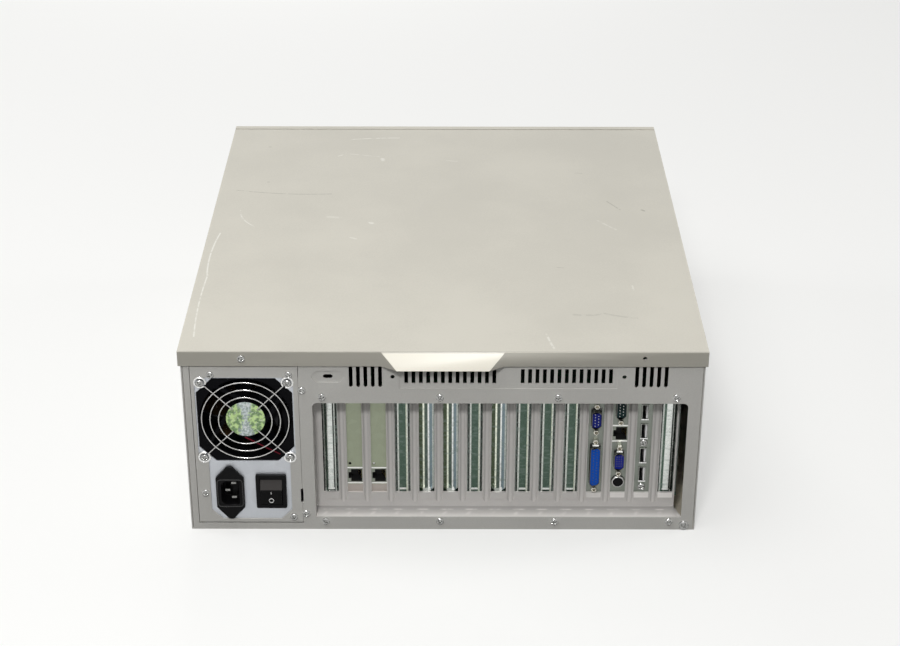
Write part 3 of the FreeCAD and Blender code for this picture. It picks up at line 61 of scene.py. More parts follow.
# %% [markdown]
# ## Measures
# A maker measures this case from the face of its rear panel, in millimetres. Two small functions change
# between such points and the metres of the frame, so every number below can be checked with a ruler.

# %% Millimetres from the rear panel
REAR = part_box("rear_panel")[0].y * 1000.0


def metres(points):
    """Points in millimetres from the rear panel's face, shifted to the frame's origin and divided by 1000."""
    return (np.asarray(points, float) + [0.0, REAR, 0.0]) / 1000.0


def from_rear(points):
    """The way back: points of the frame in millimetres from the rear panel's face."""
    return np.asarray(points, float) * 1000.0 - [0.0, REAR, 0.0]


def corners(node):
    """Lowest and highest corner of a solid in metres, as plain tuples."""
    return [tuple(corner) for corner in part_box(node)]


def ruler(node):
    """Lowest and highest corner of a solid in millimetres from the rear panel's face."""
    return from_rear(corners(node))


SLOT_COUNT = 15
SLOT_PITCH = 20.32
FIRST_SLOT = float(ruler("slot_cover_01").mean(axis=0)[0])
print("rear face at", round(REAR, 2), "mm; cover", ruler("top_cover").round(1).tolist())

# %% [markdown]
# ## Camera
# The picture was taken from behind and above, about 1.6 metres away. The focal length and the place were
# fitted to the case's corners, its slot pitch and its fan, so solids and picture share their outlines.

# %% Place the camera
def add(name, data):
    """An object that holds some data, put into the scene."""
    made = bpy.data.objects.new(name, data)
    bpy.context.scene.collection.objects.link(made)
    return made


PICTURE_WIDTH = 900
FOCAL_PIXELS = 1913.7
CAMERA_PLACE = (0.0061, -1.5990, 0.9168)
TURNS_ABOUT = (("Z", 0.02), ("X", 62.18), ("Z", 0.09))
lens = bpy.data.cameras.new("rear_view")
lens.sensor_fit = "HORIZONTAL"
lens.sensor_width = 36.0
lens.lens = FOCAL_PIXELS * lens.sensor_width / PICTURE_WIDTH
camera = add("rear_view", lens)
yaw, tilt, roll = [Matrix.Rotation(math.radians(degrees), 4, axis) for axis, degrees in TURNS_ABOUT]
camera.matrix_world = Matrix.Translation(CAMERA_PLACE) @ (yaw @ tilt @ roll)
bpy.context.scene.camera = camera
bpy.context.scene.view_settings.view_transform = "Standard"
print("lens", round(lens.lens, 2), "mm")

# %% [markdown]
# ## Shader tools
# A finish is a small network of nodes. All helpers work on the tree that lies on the bench, the one opened
# last. They place a node and join its inputs, do a sum, make noise, blend colours or use a shared group.

# %% Helpers for shader nodes
bench = {}


def feed(socket, value):
    """Joins a socket to another one, or sets its plain value."""
    if isinstance(value, bpy.types.NodeSocket):
        bench["tree"].links.new(value, socket)
    else:
        socket.default_value = value


def place(kind, options=None, **inputs):
    """One node: options are its settings, inputs are sockets by name, or by number as in_0."""
    made = bench["tree"].nodes.new("ShaderNode" + kind)
    for key, value in (options or {}).items():
        setattr(made, key, value)
    for key, value in inputs.items():
        feed(made.inputs[int(key[3:]) if key.startswith("in_") else key.replace("_", " ")], value)
    return made


def sums(operation, a, b=0.0, c=0.0):
    """One operation on up to three numbers."""
    return place("Math", {"operation": operation}, in_0=a, in_1=b, in_2=c).outputs[0]


def minus(a, b):
    """The difference of two numbers."""
    return sums("SUBTRACT", a, b)


def times(product, *factors):
    """The product of two or more numbers."""
    for factor in factors:
        product = sums("MULTIPLY", product, factor)
    return product


def axes(where):
    """The X, Y and Z of a place."""
    return place("SeparateXYZ", Vector=where).outputs


def vectors(operation, a, b=(0.0, 0.0, 0.0)):
    """One operation on two vectors; a dot product or a distance comes out as a number."""
    made = place("VectorMath", {"operation": operation}, in_0=a, in_1=b)
    return made.outputs["Value" if operation in ("DOT_PRODUCT", "DISTANCE") else "Vector"]


def scaled(vector, factor):
    """A vector times a number."""
    return place("VectorMath", {"operation": "SCALE"}, in_0=vector, Scale=factor).outputs[0]


def noise(where, scale, detail=2.0, rough=0.5):
    """Soft noise between zero and one."""
    return place("TexNoise", Vector=where, Scale=scale, Detail=detail, Roughness=rough).outputs[0]


def blend(share, a, b):
    """Colour a where share is 0 and colour b where it is 1; a plain colour is made opaque."""
    a, b = [part if isinstance(part, bpy.types.NodeSocket) else (*part, 1.0) for part in (a, b)]
    return place("Mix", {"data_type": "RGBA"}, in_0=share, in_6=a, in_7=b).outputs[2]


def fade(value, low, high, start=0.0, end=1.0):
    """A smooth step: start below low, end above high."""
    ends = {"From_Min": low, "From_Max": high, "To_Min": start, "To_Max": end}
    return place("MapRange", {"interpolation_type": "SMOOTHSTEP"}, Value=value, **ends).outputs[0]


def effect(name, takes, gives):
    """Opens a shader group that takes a place and other values: its tree, its inputs and its outputs."""
    bench["tree"] = tree = bpy.data.node_groups.new(name, "ShaderNodeTree")
    for label, value in {"Vector": (0.0, 0.0, 0.0), **takes}.items():
        kind = "NodeSocketVector" if isinstance(value, tuple) else "NodeSocketFloat"
        tree.interface.new_socket(label, in_out="INPUT", socket_type=kind).default_value = value
    for label in gives:
        tree.interface.new_socket(label, in_out="OUTPUT", socket_type="NodeSocketFloat")
    return tree, tree.nodes.new("NodeGroupInput").outputs, tree.nodes.new("NodeGroupOutput").inputs


def use(group, where, **inputs):
    """Places a shared group and joins its inputs."""
    made = bench["tree"].nodes.new("ShaderNodeGroup")
    made.node_tree = group
    for key, value in {"Vector": where, **inputs}.items():
        feed(made.inputs[key], value)
    return made.outputs


print("shader helpers ready")

# %% [markdown]
# ## Sprayed enamel
# The sheet metal is sprayed and baked. Close up the coat has a fine orange peel, and over a hand's width its
# tone drifts a little. Two noises of different size give both: the fine one is height, their mix is tone.

# %% Group: sprayed enamel
enamel, take, give = effect("sprayed_enamel", {"Peel": 900.0}, ["Tone", "Height"])
peel = noise(take["Vector"], take["Peel"])
drift = noise(take["Vector"], 9.0, 3.0)
feed(give["Tone"], fade(sums("ADD", times(peel, 0.35), times(drift, 0.65)), 0.36, 0.64))
feed(give["Height"], peel)
print("group", enamel.name)

# %% [markdown]
# ## Rubbed edges
# Paint and plating wear first along an edge. On a box-like piece the distance to the nearest edge is the
# middle one of the three distances to its faces, so no mesh needs to be measured: two corners are enough.

# %% Group: rubbed edges
box_inputs = {"Low": (0.0, 0.0, 0.0), "High": (1.0, 1.0, 1.0), "Reach": 0.002}
edge_rub, take, give = effect("rubbed_edges", box_inputs, ["Mask"])
under = vectors("ABSOLUTE", vectors("SUBTRACT", take["Vector"], take["Low"]))
over = vectors("ABSOLUTE", vectors("SUBTRACT", take["High"], take["Vector"]))
x, y, z = axes(vectors("MINIMUM", under, over))
larger = sums("MINIMUM", sums("MAXIMUM", x, y), z)
middle = sums("MAXIMUM", sums("MINIMUM", x, y), larger)
near = minus(1.0, sums("DIVIDE", middle, take["Reach"]))
patchy = noise(take["Vector"], 160.0, 3.0)
feed(give["Mask"], times(fade(near, 0.0, 1.0), fade(patchy, 0.35, 0.7)))
print("group", edge_rub.name)

# %% [markdown]
# ## Scratches
# A scratch is a short stroke in a plane: a straight line from one point to another that bows a little to one
# side. The mask is one close to that line and fades out at its width; noise breaks it up along its length.

# %% Group: one scratch
line_inputs = {"From": (0.0, 0.0, 0.0), "To": (1.0, 0.0, 0.0), "Bow": 0.0, "Width": 0.001}
scratch, take, give = effect("scratch_stroke", line_inputs, ["Mask"])
way = vectors("SUBTRACT", take["To"], take["From"])
start = vectors("SUBTRACT", take["Vector"], take["From"])
run = sums("DIVIDE", vectors("DOT_PRODUCT", start, way), vectors("DOT_PRODUCT", way, way))
share = place("Clamp", Value=run).outputs[0]
arch = times(share, minus(1.0, share), 4.0)
aside = vectors("NORMALIZE", vectors("CROSS_PRODUCT", way, (0.0, 0.0, 1.0)))
foot = vectors("ADD", scaled(way, share), scaled(aside, times(arch, take["Bow"])))
close = minus(1.0, sums("DIVIDE", vectors("DISTANCE", start, foot), take["Width"]))
gaps = noise(take["Vector"], 240.0)
feed(give["Mask"], times(fade(close, 0.0, 0.7), fade(gaps, 0.3, 0.55)))
print("group", scratch.name)

# %% [markdown]
# ## Plated sheet
# Zinc leaves a faint mottle of crystals on sheet steel and small brush marks from handling. Cells of a
# Voronoi texture give the crystals, a stretched noise gives the marks, and both shift tone and gloss.

# %% Group: plated sheet
plated, take, give = effect("plated_sheet", {"Size": 140.0}, ["Tone", "Height"])
crystals = place("TexVoronoi", {"feature": "F1"}, Vector=take["Vector"], Scale=take["Size"])
spangle = place("SeparateColor", Color=crystals.outputs["Color"]).outputs[0]
marks = noise(place("Mapping", Vector=take["Vector"], Scale=(1.0, 1.0, 0.12)).outputs[0], 1500.0)
feed(give["Tone"], fade(sums("ADD", times(spangle, 0.4), times(marks, 0.6)), 0.25, 0.75))
feed(give["Height"], marks)
print("group", plated.name)

# %% [markdown]
# ## Handled dust
# A used case carries a thin film of dust and finger grease that gathers in soft patches. Broad noise with a
# threshold gives the patches, finer noise frays their borders.

# %% Group: dust film
dust, take, give = effect("dust_film", {"Size": 22.0}, ["Mask"])
broad = noise(take["Vector"], take["Size"], 4.0, 0.6)
specks = noise(take["Vector"], 700.0)
feed(give["Mask"], times(fade(broad, 0.5, 0.72), fade(specks, 0.3, 0.7)))
print("group", dust.name)

# %% [markdown]
# ## Building a finish
# Each finish starts as one Principled shader. Values that are the same all over go straight on its sockets,
# and only what changes over the surface comes from nodes. All finishes are kept in one list by name.

# %% Start and end of a finish
finishes = {}
FINE = 0.00002
GRAINY = 0.00003


def tint(colour, factor):
    """A colour made lighter or darker."""
    return tuple(min(1.0, part * factor) for part in colour)


def mottled(share, colour, dark, light):
    """A colour that drifts between a darker and a lighter tone."""
    return blend(share, tint(colour, dark), tint(colour, light))


def start_finish(name, metallic=0.0):
    """Opens a new material: its shader's inputs and its object coordinates."""
    finishes[name] = bpy.data.materials.new(name)
    finishes[name].use_nodes = True
    bench["tree"] = finishes[name].node_tree
    shader = bench["tree"].nodes["Principled BSDF"].inputs
    shader["Metallic"].default_value = metallic
    return shader, place("TexCoord").outputs["Object"]


def end_finish(shader, shade, rough, height, depth):
    """Joins colour, roughness and a fine relief of the given depth in metres to the shader."""
    feed(shader["Base Color"], shade)
    feed(shader["Roughness"], rough)
    feed(shader["Normal"], place("Bump", Height=height, Distance=depth, Strength=0.6).outputs[0])


print("finish helpers ready")

# %% [markdown]
# ## Zones
# Some places of a painted piece catch more or less light, and a zone paints that light or shade into their
# colour.
# A zone is a mask worked out from coordinates. What repeats with the card slots is found by wrapping X at the
# slot pitch.

# %% Bands and slots
def band(value, low, high, soft=0.2):
    """One between two millimetre marks, zero outside, with soft borders."""
    rise = fade(value, (low - soft) / 1000.0, (low + soft) / 1000.0)
    return times(rise, fade(value, (high - soft) / 1000.0, (high + soft) / 1000.0, 1.0, 0.0))


def behind_rear(where, near, far, soft=0.2):
    """One between two depths behind the rear panel's face."""
    return band(axes(where)[1], REAR + near, REAR + far, soft)


def across_slot(where, shift=0.0):
    """Distance from the middle of the nearest slot, or from a line beside it: X wrapped at the slot pitch."""
    half = SLOT_PITCH / 2000.0
    return sums("WRAP", minus(axes(where)[0], (FIRST_SLOT + shift) / 1000.0), half, -half)


print("slots from", round(FIRST_SLOT, 2), "mm")

# %% [markdown]
# ## Lip and pull of the cover
# The cover's rear lip stands upright and gets painted shade, darker than the top. In its middle a pull slopes
# outwards and gets a painted highlight; its two flanks keep the lip's painted shade. The height over the
# slope tells them apart.

# %% Zones of the cover
PULL_REACH = 8.0
LIP_TALL = 13.5
BEYOND = 50.0


def over_slope(where):
    """How far a point lies behind the cover's rear lip, and how high over the pull's slope, which drops by
    the lip's height over the pull's reach."""
    low, high = ruler("top_cover")
    behind = minus((REAR + low[1] + PULL_REACH) / 1000.0, axes(where)[1])
    height = sums("MULTIPLY_ADD", behind, LIP_TALL / PULL_REACH, axes(where)[2])
    return behind, minus(height, high[2] / 1000.0)


def lip_painted_shade(where):
    """The cover's rear lip and the flanks of its pull, all that lies under the pull's slope: painted shade.
    """
    behind, height = over_slope(where)
    return times(band(behind, -0.9, BEYOND), band(height, -BEYOND, -0.6))


def pull_painted_highlight(where):
    """The sloping face of the pull in the middle of the cover's rear edge, for a painted highlight."""
    behind, height = over_slope(where)
    return times(band(behind, 0.5, BEYOND), band(height, -0.4, BEYOND))


print("cover: a pull of", PULL_REACH, "mm over a lip of", LIP_TALL, "mm")

# %% [markdown]
# ## Shelf, pads and ribs of the slot bay
# Under the slots a shelf runs to the rear. Its colour gets painted shade at its back and a painted highlight
# at its edge; it is polished by use, and below each slot lies a pale painted reflection of the slot's foot.
# Small pads carry the brackets' feet and get a painted highlight, and the ribs get upright strips of painted
# light and shade.

# %% Zones of the slot bay
SHELF_TOP = 14.2
SHELF_DEPTH = (-5.0, 17.2)
PAD_DEPTH = (16.0, 17.0)
PAD_TALL = (21.5, 26.6)
PAD_HALF = 6.2
RIB_DEPTH = (14.0, 17.4)
RIB_TALL = (17.0, 140.0)
STREAK_ASIDE = -3.0
STREAK_TOP = 11.2
STREAK_LEAN = 0.41


def pad_highlight(where):
    """The raised pads under the card slots, for a painted highlight that grows towards the right."""
    x, y, z = axes(where)
    face = times(behind_rear(where, *PAD_DEPTH), band(z, *PAD_TALL))
    return times(face, band(across_slot(where), -PAD_HALF, PAD_HALF), fade(x, 0.11, 0.14))


def shelf_zone(near, far):
    """The shelf under the slots, fading in between two depths."""
    def zone(where):
        first, last = [(REAR + depth) / 1000.0 for depth in sorted((near, far))]
        ease = fade(axes(where)[1], first, last, float(near > far), float(near < far))
        return times(band(axes(where)[2], 0.0, SHELF_TOP), behind_rear(where, *SHELF_DEPTH), ease)
    return zone


def rib_shading_strip(left, right):
    """An upright strip of every rib between two slots, measured from the rib's middle line, for painted light
    and shade.
    """
    def zone(where):
        x, y, z = axes(where)
        ribs = band(x, FIRST_SLOT, FIRST_SLOT + (SLOT_COUNT - 1) * SLOT_PITCH)
        face = times(behind_rear(where, *RIB_DEPTH), band(z, *RIB_TALL))
        return times(ribs, face, band(across_slot(where, SLOT_PITCH / 2), left, right, 0.3))
    return zone


whole_shelf = shelf_zone(0.0, 0.1)


def shelf_foot_reflection(where):
    """Painted reflection of the slots' feet on the shelf, one under each slot: a pale soft bar at the back
    and a slanting streak before it, both broken up by noise."""
    aside = across_slot(where, STREAK_ASIDE)
    bar = times(behind_rear(where, 11.4, 12.6, 1.2), band(aside, -4.6, 4.6, 2.4))
    lean = times(minus((REAR + STREAK_TOP) / 1000.0, axes(where)[1]), STREAK_LEAN)
    streak = times(band(sums("ADD", aside, lean), -1.2, 1.2, 2.2), behind_rear(where, 2.0, 8.0, 3.0))
    frayed = fade(noise(where, 130.0, 3.0), 0.35, 0.6, 0.15, 1.0)
    return times(sums("MAXIMUM", bar, streak), frayed, whole_shelf(where))


print("bay:", SLOT_COUNT - 1, "ribs")

# %% [markdown]
# ## Painted sheet
# The cover is a warm light grey, the rear panel a cooler one. Edges are rubbed pale and a little dust lies on
# the paint. The cover's scratches are strokes between measured points: some show pale primer, some are dark
# rub marks. Each row gives X and Y of both ends, the bow and the width in millimetres, and the strength.

# %% Enamel finishes
LIGHT_MARKS = [
    (-204.4, -14, -206.4, -105, 3.0, 1.0, 0.9), (-206.2, -100, -204.9, -214, 2.0, 0.9, 0.85),
    (-190.8, 36.8, -175, 0.6, 4.0, 0.9, 0.75), (-94.6, 210.5, -46.3, 214.5, -1.0, 1.2, 0.8),
    (-106.2, 167, -98.9, 175, 1.0, 1.0, 0.7), (-94.2, 172.3, -65, 165.5, 0.0, 1.0, 0.45),
    (-62, 160, -61, 156, 0.0, 3.0, 0.7), (-68, 9.5, -66.8, 8, 0.0, 3.0, 0.7),
    (-108, 22, -97, 20, 0.0, 3.0, 0.3), (-85, -23, -80, -26, 0.0, 1.6, 0.5),
    (142.5, 15, 157.8, -5, 0.5, 1.6, 0.35), (85.2, -208.4, 90.7, -234.4, 0.5, 1.4, 0.6),
    (163.3, -120, 163.6, -128, 0.0, 1.2, 0.5), (2, 156, 12, 154, 0.0, 1.4, 0.4)]
DARK_MARKS = [
    (-199.3, 82.8, -107.9, 74.2, 4.0, 0.9, 0.6), (153.9, 57.9, 164.9, 38.7, 0.0, 0.9, 0.6),
    (185.3, 38.4, 187.3, 36.4, 0.0, 1.7, 0.7), (128, 125.4, 134.4, 124.6, 0.0, 0.8, 0.4),
    (-176.8, 190.1, -175.4, 190.1, 0.0, 1.3, 0.5), (-170.9, 102.2, -169.9, 102.2, 0.0, 1.3, 0.5),
    (100, -84, 106, -85, 0.0, 1.0, 0.35), (110, -174, 136, -172, 2.0, 2.2, 0.3),
    (136, -172, 162, -180, 1.0, 1.8, 0.3)]
PRIMER = (0.79, 0.775, 0.71)
RUB_DARK = (0.32, 0.305, 0.255)
COVER_GREY = (0.60, 0.575, 0.50)
PANEL_GREY = (0.56, 0.55, 0.52)
BAY_GREY = (0.57, 0.55, 0.53)
PAINT_DRIFT = (0.955, 1.035)
RUB_REACH = 0.0016


def strokes(where, marks, level):
    """The strongest of many scratches at every point, all on one level."""
    mask = 0.0
    for x1, y1, x2, y2, bow, width, strength in marks:
        ends = {"From": (x1 / 1000.0, y1 / 1000.0, level), "To": (x2 / 1000.0, y2 / 1000.0, level)}
        one = use(scratch, where, Bow=bow / 1000.0, Width=width / 1000.0, **ends)["Mask"]
        mask = sums("MAXIMUM", times(one, strength), mask)
    return mask


def enamel_finish(name, colour, node, gloss=0.4, worn=0.35, scratches=(), zones=(), polished=None):
    """Enamel: drifting tone, rubbed edges, dust, zones of painted light and shade, scratches and a polished
    zone.
    """
    shader, where = start_finish(name)
    if polished:
        feed(shader["Coat Weight"], polished(where))
        shader["Coat Roughness"].default_value = 0.06
        shader["Coat IOR"].default_value = 2.2
    coat = use(enamel, where)
    low, high = corners(node)
    rubbed = use(edge_rub, where, Low=low, High=high, Reach=RUB_REACH)["Mask"]
    shade = mottled(coat["Tone"], colour, *PAINT_DRIFT)
    shade = blend(times(rubbed, worn), shade, tint(colour, 1.35))
    shade = blend(times(use(dust, where)["Mask"], 0.14), shade, tint(colour, 0.8))
    for zone, factor in zones:
        shade = blend(zone(where), shade, tint(colour, factor))
    for mark_colour, marks in scratches:
        shade = blend(strokes(where, marks, high[2]), shade, mark_colour)
    rough = fade(coat["Tone"], 0.0, 1.0, gloss - 0.012, gloss + 0.015)
    end_finish(shader, shade, rough, coat["Height"], GRAINY)


cover_marks = [(PRIMER, LIGHT_MARKS), (RUB_DARK, DARK_MARKS)]
# The lip's colour is darkened as painted shade, the pull's brightened as a painted highlight.
cover_zones = [(lip_painted_shade, 0.7), (pull_painted_highlight, 1.6)]
# Painted light and shade of the bay: highlight on the pads, shade at the shelf's back, highlight at its edge,
# reflections of the slots' feet, light and shade on the ribs.
bay_zones = [
    (pad_highlight, 1.5), (shelf_zone(5.0, 17.0), 0.55), (shelf_zone(9.0, 1.0), 1.42), (shelf_foot_reflection, 1.45),
    (rib_shading_strip(-2.4, -1.2), 0.8), (rib_shading_strip(-0.9, 0.7), 1.1), (rib_shading_strip(2.0, 3.1), 1.27)]
enamel_finish("cover_enamel", COVER_GREY, "top_cover", 0.24, 0.45, cover_marks, cover_zones)
enamel_finish("front_enamel", COVER_GREY, "front_panel")
enamel_finish("door_enamel", COVER_GREY, "front_door")
enamel_finish("panel_enamel", PANEL_GREY, "rear_panel", worn=0.3)
enamel_finish("plate_enamel", PANEL_GREY, "psu_plate", worn=0.3)
enamel_finish("bay_enamel", BAY_GREY, "slot_bay", 0.3, 0.2, (), bay_zones, whole_shelf)
print("enamel finishes:", len(LIGHT_MARKS) + len(DARK_MARKS), "marks on the cover")

# %% [markdown]
# ## Plated and bright metal
# Brackets, screws and shells are plated steel, the guard wire is bright nickel, the heatsink plain aluminium.
# All share the plated-sheet group. Each row gives colour, roughness, crystal size and contrast. The network
# brackets also have a foot in another tone, up to a given height: a painted reflection of the pale shelf
# below.

# %% Metal finishes
# The brackets' green-grey and the shells', blades' and screws' dark greys are painted reflection of a dark
# green ground and painted shade.
METALS = {
    "supply_zinc": ((0.575, 0.595, 0.63), 0.5, 90.0, 0.025),
    "screw_zinc": ((0.46, 0.46, 0.45), 0.15, 500.0),
    "guard_nickel": ((0.6, 0.59, 0.58), 0.1, 700.0),
    "bracket_zinc": ((0.33, 0.36, 0.27), 0.55, 160.0, 0.025, (33.5, (0.44, 0.4, 0.37))),
    "port_bracket_zinc": ((0.26, 0.28, 0.25), 0.45, 160.0, 0.04),
    "shell_nickel": ((0.16, 0.16, 0.155), 0.2, 400.0),
    "post_nickel": ((0.62, 0.6, 0.54), 0.12, 400.0),
    "blade_nickel": ((0.3, 0.3, 0.29), 0.2, 400.0),
    # near-white tin for painted glints on lips, guard eyes and pins
    "glint_tin": ((0.95, 0.95, 0.93), 0.3, 400.0),
    "contact_tin": ((0.72, 0.72, 0.7), 0.25, 400.0),
    "contact_gilt": ((0.75, 0.56, 0.22), 0.25, 500.0),
    "frame_zinc": ((0.55, 0.56, 0.55), 0.45, 90.0),
    "sink_aluminium": ((0.62, 0.62, 0.63), 0.38, 300.0),
}


def metal_finish(name, colour, gloss, size, contrast=0.1, foot=None):
    """Plated metal: crystal mottle in tone and gloss, drawn marks as relief, dust, and a foot in another
    tone, a painted reflection.
    """
    shader, where = start_finish(name, metallic=1.0)
    skin = use(plated, where, Size=size)
    film = use(dust, where, Size=60.0)["Mask"]
    shade = mottled(skin["Tone"], colour, 1.0 - contrast, 1.0 + contrast)
    shade = blend(times(film, 2.0 * contrast), shade, tint(colour, 0.6))
    if foot:
        # On the network brackets this foot is a painted reflection of the pale shelf.
        shade = blend(band(axes(where)[2], 0.0, foot[0], 1.0), shade, foot[1])
    rough = fade(skin["Tone"], 0.0, 1.0, gloss + contrast / 2, gloss - contrast / 2)
    end_finish(shader, shade, rough, skin["Height"], FINE)


for name, values in METALS.items():
    metal_finish(name, *values)
print(len(METALS), "metal finishes")

# %% [markdown]
# ## Slot covers
# A cover's pressed ridge has a flat that mirrors the dark ground and flanks that mirror the sky. A colour
# ramp across each slot paints these reflections into the colour, with painted shadows in the gaps beside the
# cover, and a noise streaks them; patches at the foot of the pressing are a painted shadow and painted
# glints. The place across the slot is
# X wrapped at the slot pitch, so one finish serves every cover of the same pressing.

# %% Banded zinc for the slot covers
SLOT_HALF = 6.5
# Tones that paint reflections, glints and shadows into the covers' colour.
RIPPLE = (0.2, 0.25, 0.225)
DEEP = (0.079, 0.121, 0.094)
EDGE = (0.2, 0.23, 0.21)
BRIGHT = (0.95, 0.97, 0.95)
PALE = (0.76, 0.79, 0.76)
SILVER = (0.62, 0.65, 0.61)
TINTED_REFLECTION = (0.64, 0.68, 0.55)
WARM = (0.9, 0.94, 0.8)
GREY = (0.09, 0.12, 0.1)
STEEL = (0.2, 0.26, 0.29)
OLIVE = (0.07, 0.09, 0.055)
LIGHT = (0.5, 0.53, 0.5)
SHADOW = (0.015, 0.016, 0.015)
RIDGE_END_SHADOW_GLINT = [(27.0, 29.0, -2.9, 2.9, SHADOW), (29.1, 31.0, -2.9, 2.9, PALE)]
BEAD_END_GLINTS = [(26.0, 29.4, -3.4, 3.4, LIGHT), (27.0, 30.6, 1.0, 2.9, BRIGHT)]


def cover_finish(name, painted_ends, bands):
    """Plated sheet whose colour, a painted reflection and shadow, follows the distance from the slot's
    middle; bands are (millimetres, colour). The second argument lists (low, high, left, right, colour):
    patches of painted shadow and glint at the foot of the pressing."""
    shader, where = start_finish(name, metallic=1.0)
    across = across_slot(where)
    half = SLOT_HALF / 1000.0
    ramp = place("ValToRGB", Fac=place("MapRange", Value=across, From_Min=-half, From_Max=half).outputs[0])
    stops = ramp.color_ramp.elements
    while len(stops) < len(bands):
        stops.new(0.5)
    for stop, (offset, colour) in zip(stops, bands):
        stop.position = (offset + SLOT_HALF) / (2 * SLOT_HALF)
        stop.color = (*colour, 1.0)
    skin = use(plated, where, Size=260.0)
    ripple = noise(place("Mapping", Vector=where, Scale=(0.3, 0.3, 1.0)).outputs[0], 420.0, 3.0)
    shade = blend(fade(ripple, 0.45, 0.75, 0.0, 0.5), ramp.outputs[0], RIPPLE)
    for low, high, left, right, colour in painted_ends:
        shade = blend(times(band(axes(where)[2], low, high), band(across, left, right)), shade, colour)
    end_finish(shader, shade, fade(skin["Tone"], 0.0, 1.0, 0.31, 0.21), skin["Height"], FINE)


cover_finish("ridge_zinc_dark_reflection", RIDGE_END_SHADOW_GLINT, [
    (-6.4, EDGE), (-5.7, EDGE), (-5.3, SHADOW), (-4.6, SHADOW), (-4.2, SILVER), (-3.3, SILVER), (-2.8, DEEP),
    (2.7, DEEP), (3.1, TINTED_REFLECTION), (4.3, SILVER), (4.7, SHADOW), (5.4, SHADOW), (5.9, EDGE)])
cover_finish("ridge_zinc_bright_reflection", RIDGE_END_SHADOW_GLINT, [
    (-6.4, SHADOW), (-5.7, SHADOW), (-5.3, LIGHT), (-4.5, LIGHT), (-4.1, DEEP), (-2.7, DEEP), (-2.3, PALE),
    (2.1, PALE), (2.5, SHADOW), (3.2, SHADOW), (3.6, LIGHT), (4.2, LIGHT), (4.5, SHADOW), (5.5, SHADOW),
    (6.0, EDGE)])
cover_finish("beaded_zinc_painted_reflection", BEAD_END_GLINTS, [
    (-6.4, OLIVE), (-3.5, OLIVE), (-3.1, WARM), (-2.1, WARM), (-1.7, GREY), (0.7, GREY), (1.1, BRIGHT),
    (1.9, BRIGHT), (2.4, STEEL), (4.4, STEEL), (4.9, LIGHT), (5.6, LIGHT), (6.0, EDGE)])
print("slot covers: three pressings")

# %% [markdown]
# ## Moulded plastics
# Fan, inlet, switch and sockets are moulded. Such plastic has a fine eroded grain and a slightly uneven
# gloss, which come from the enamel group at a finer size; dust shows on the dark ones. Each row gives colour,
# roughness, dust and shine. The rocker's upper half gets a lighter tone: a painted sheen where it tilts up to
# the light.

# %% Plastic finishes
DUST_GREY = (0.3, 0.29, 0.27)
MOULD_GRAIN = 2600.0
PLASTICS = {
    "black_plastic": ((0.005, 0.005, 0.0055), 0.38, 0.01, 0.1),
    "rocker_plastic": ((0.003, 0.003, 0.003), 0.35, 0.01, 0.1, (40.6, 49.0, (0.065, 0.06, 0.058))),
    "fan_plastic": ((0.003, 0.003, 0.004), 0.4, 0.01, 0.05),
    "serial_blue": ((0.01, 0.018, 0.19), 0.35, 0.02, 0.15),
    "parallel_blue": ((0.004, 0.085, 0.5), 0.35, 0.02, 0.15),
    "video_blue": ((0.008, 0.018, 0.26), 0.35, 0.02, 0.15),
    "port_green": ((0.006, 0.026, 0.026), 0.35, 0.02, 0.15),
    "socket_ivory": ((0.7, 0.68, 0.6), 0.45),
    "tongue_white": ((0.95, 0.945, 0.92), 0.4, 0.05),
    "pad_rubber": ((0.03, 0.03, 0.03), 0.7),
    "blank_grey": ((0.5, 0.48, 0.42), 0.45),
    "lamp_green": ((0.08, 0.42, 0.1), 0.15, 0.02),
    "lead_red": ((0.12, 0.001, 0.01), 0.4, 0.02, 0.2),
    "bead_plastic": ((0.03, 0.03, 0.03), 0.3, 0.02),
    "print_white": ((0.85, 0.85, 0.83), 0.45, 0.02),
}


def plastic_finish(name, colour, gloss, dusty=0.12, shine=0.5, upper=None):
    """Moulded plastic: fine grain, small tone changes, dust, and a strip of painted sheen between two
    heights.
    """
    shader, where = start_finish(name)
    shader["Specular IOR Level"].default_value = shine
    grain = use(enamel, where, Peel=MOULD_GRAIN)
    film = use(dust, where, Size=50.0)["Mask"]
    shade = blend(times(film, dusty), mottled(grain["Tone"], colour, 0.85, 1.15), DUST_GREY)
    if upper:
        shade = blend(band(axes(where)[2], upper[0], upper[1]), shade, upper[2])
    rough = fade(grain["Tone"], 0.0, 1.0, gloss - 0.05, gloss + 0.06)
    end_finish(shader, shade, rough, grain["Height"], GRAINY)


for name, values in PLASTICS.items():
    plastic_finish(name, *values)
print(len(PLASTICS), "plastic finishes")

# %% [markdown]
# ## Circuit boards
# A card's green mask lies over copper tracks. Thin bands of a wave texture stand for the tracks and small
# cells of a Voronoi texture for the soldered holes.

# %% Board finish
SOLDER = (0.55, 0.54, 0.5)


def board_finish(name, colour):
    """Solder mask over tracks: bands slightly lighter and raised, dots of solder, glossy."""
    shader, where = start_finish(name)
    wave = {"Scale": 120.0, "Distortion": 6.0, "Detail": 1.0}
    bands = place("TexWave", {"bands_direction": "Z"}, Vector=where, **wave).outputs["Fac"]
    tracks = fade(bands, 0.55, 0.7)
    cells = place("TexVoronoi", {"feature": "F1"}, Vector=where, Scale=320.0).outputs["Distance"]
    shade = blend(fade(cells, 0.16, 0.1), mottled(tracks, colour, 0.8, 1.5), SOLDER)
    end_finish(shader, shade, fade(tracks, 0.0, 1.0, 0.36, 0.26), tracks, GRAINY)


board_finish("board_green", (0.02, 0.11, 0.045))
board_finish("supply_board_brown", (0.06, 0.035, 0.016))
print("board finishes ready")

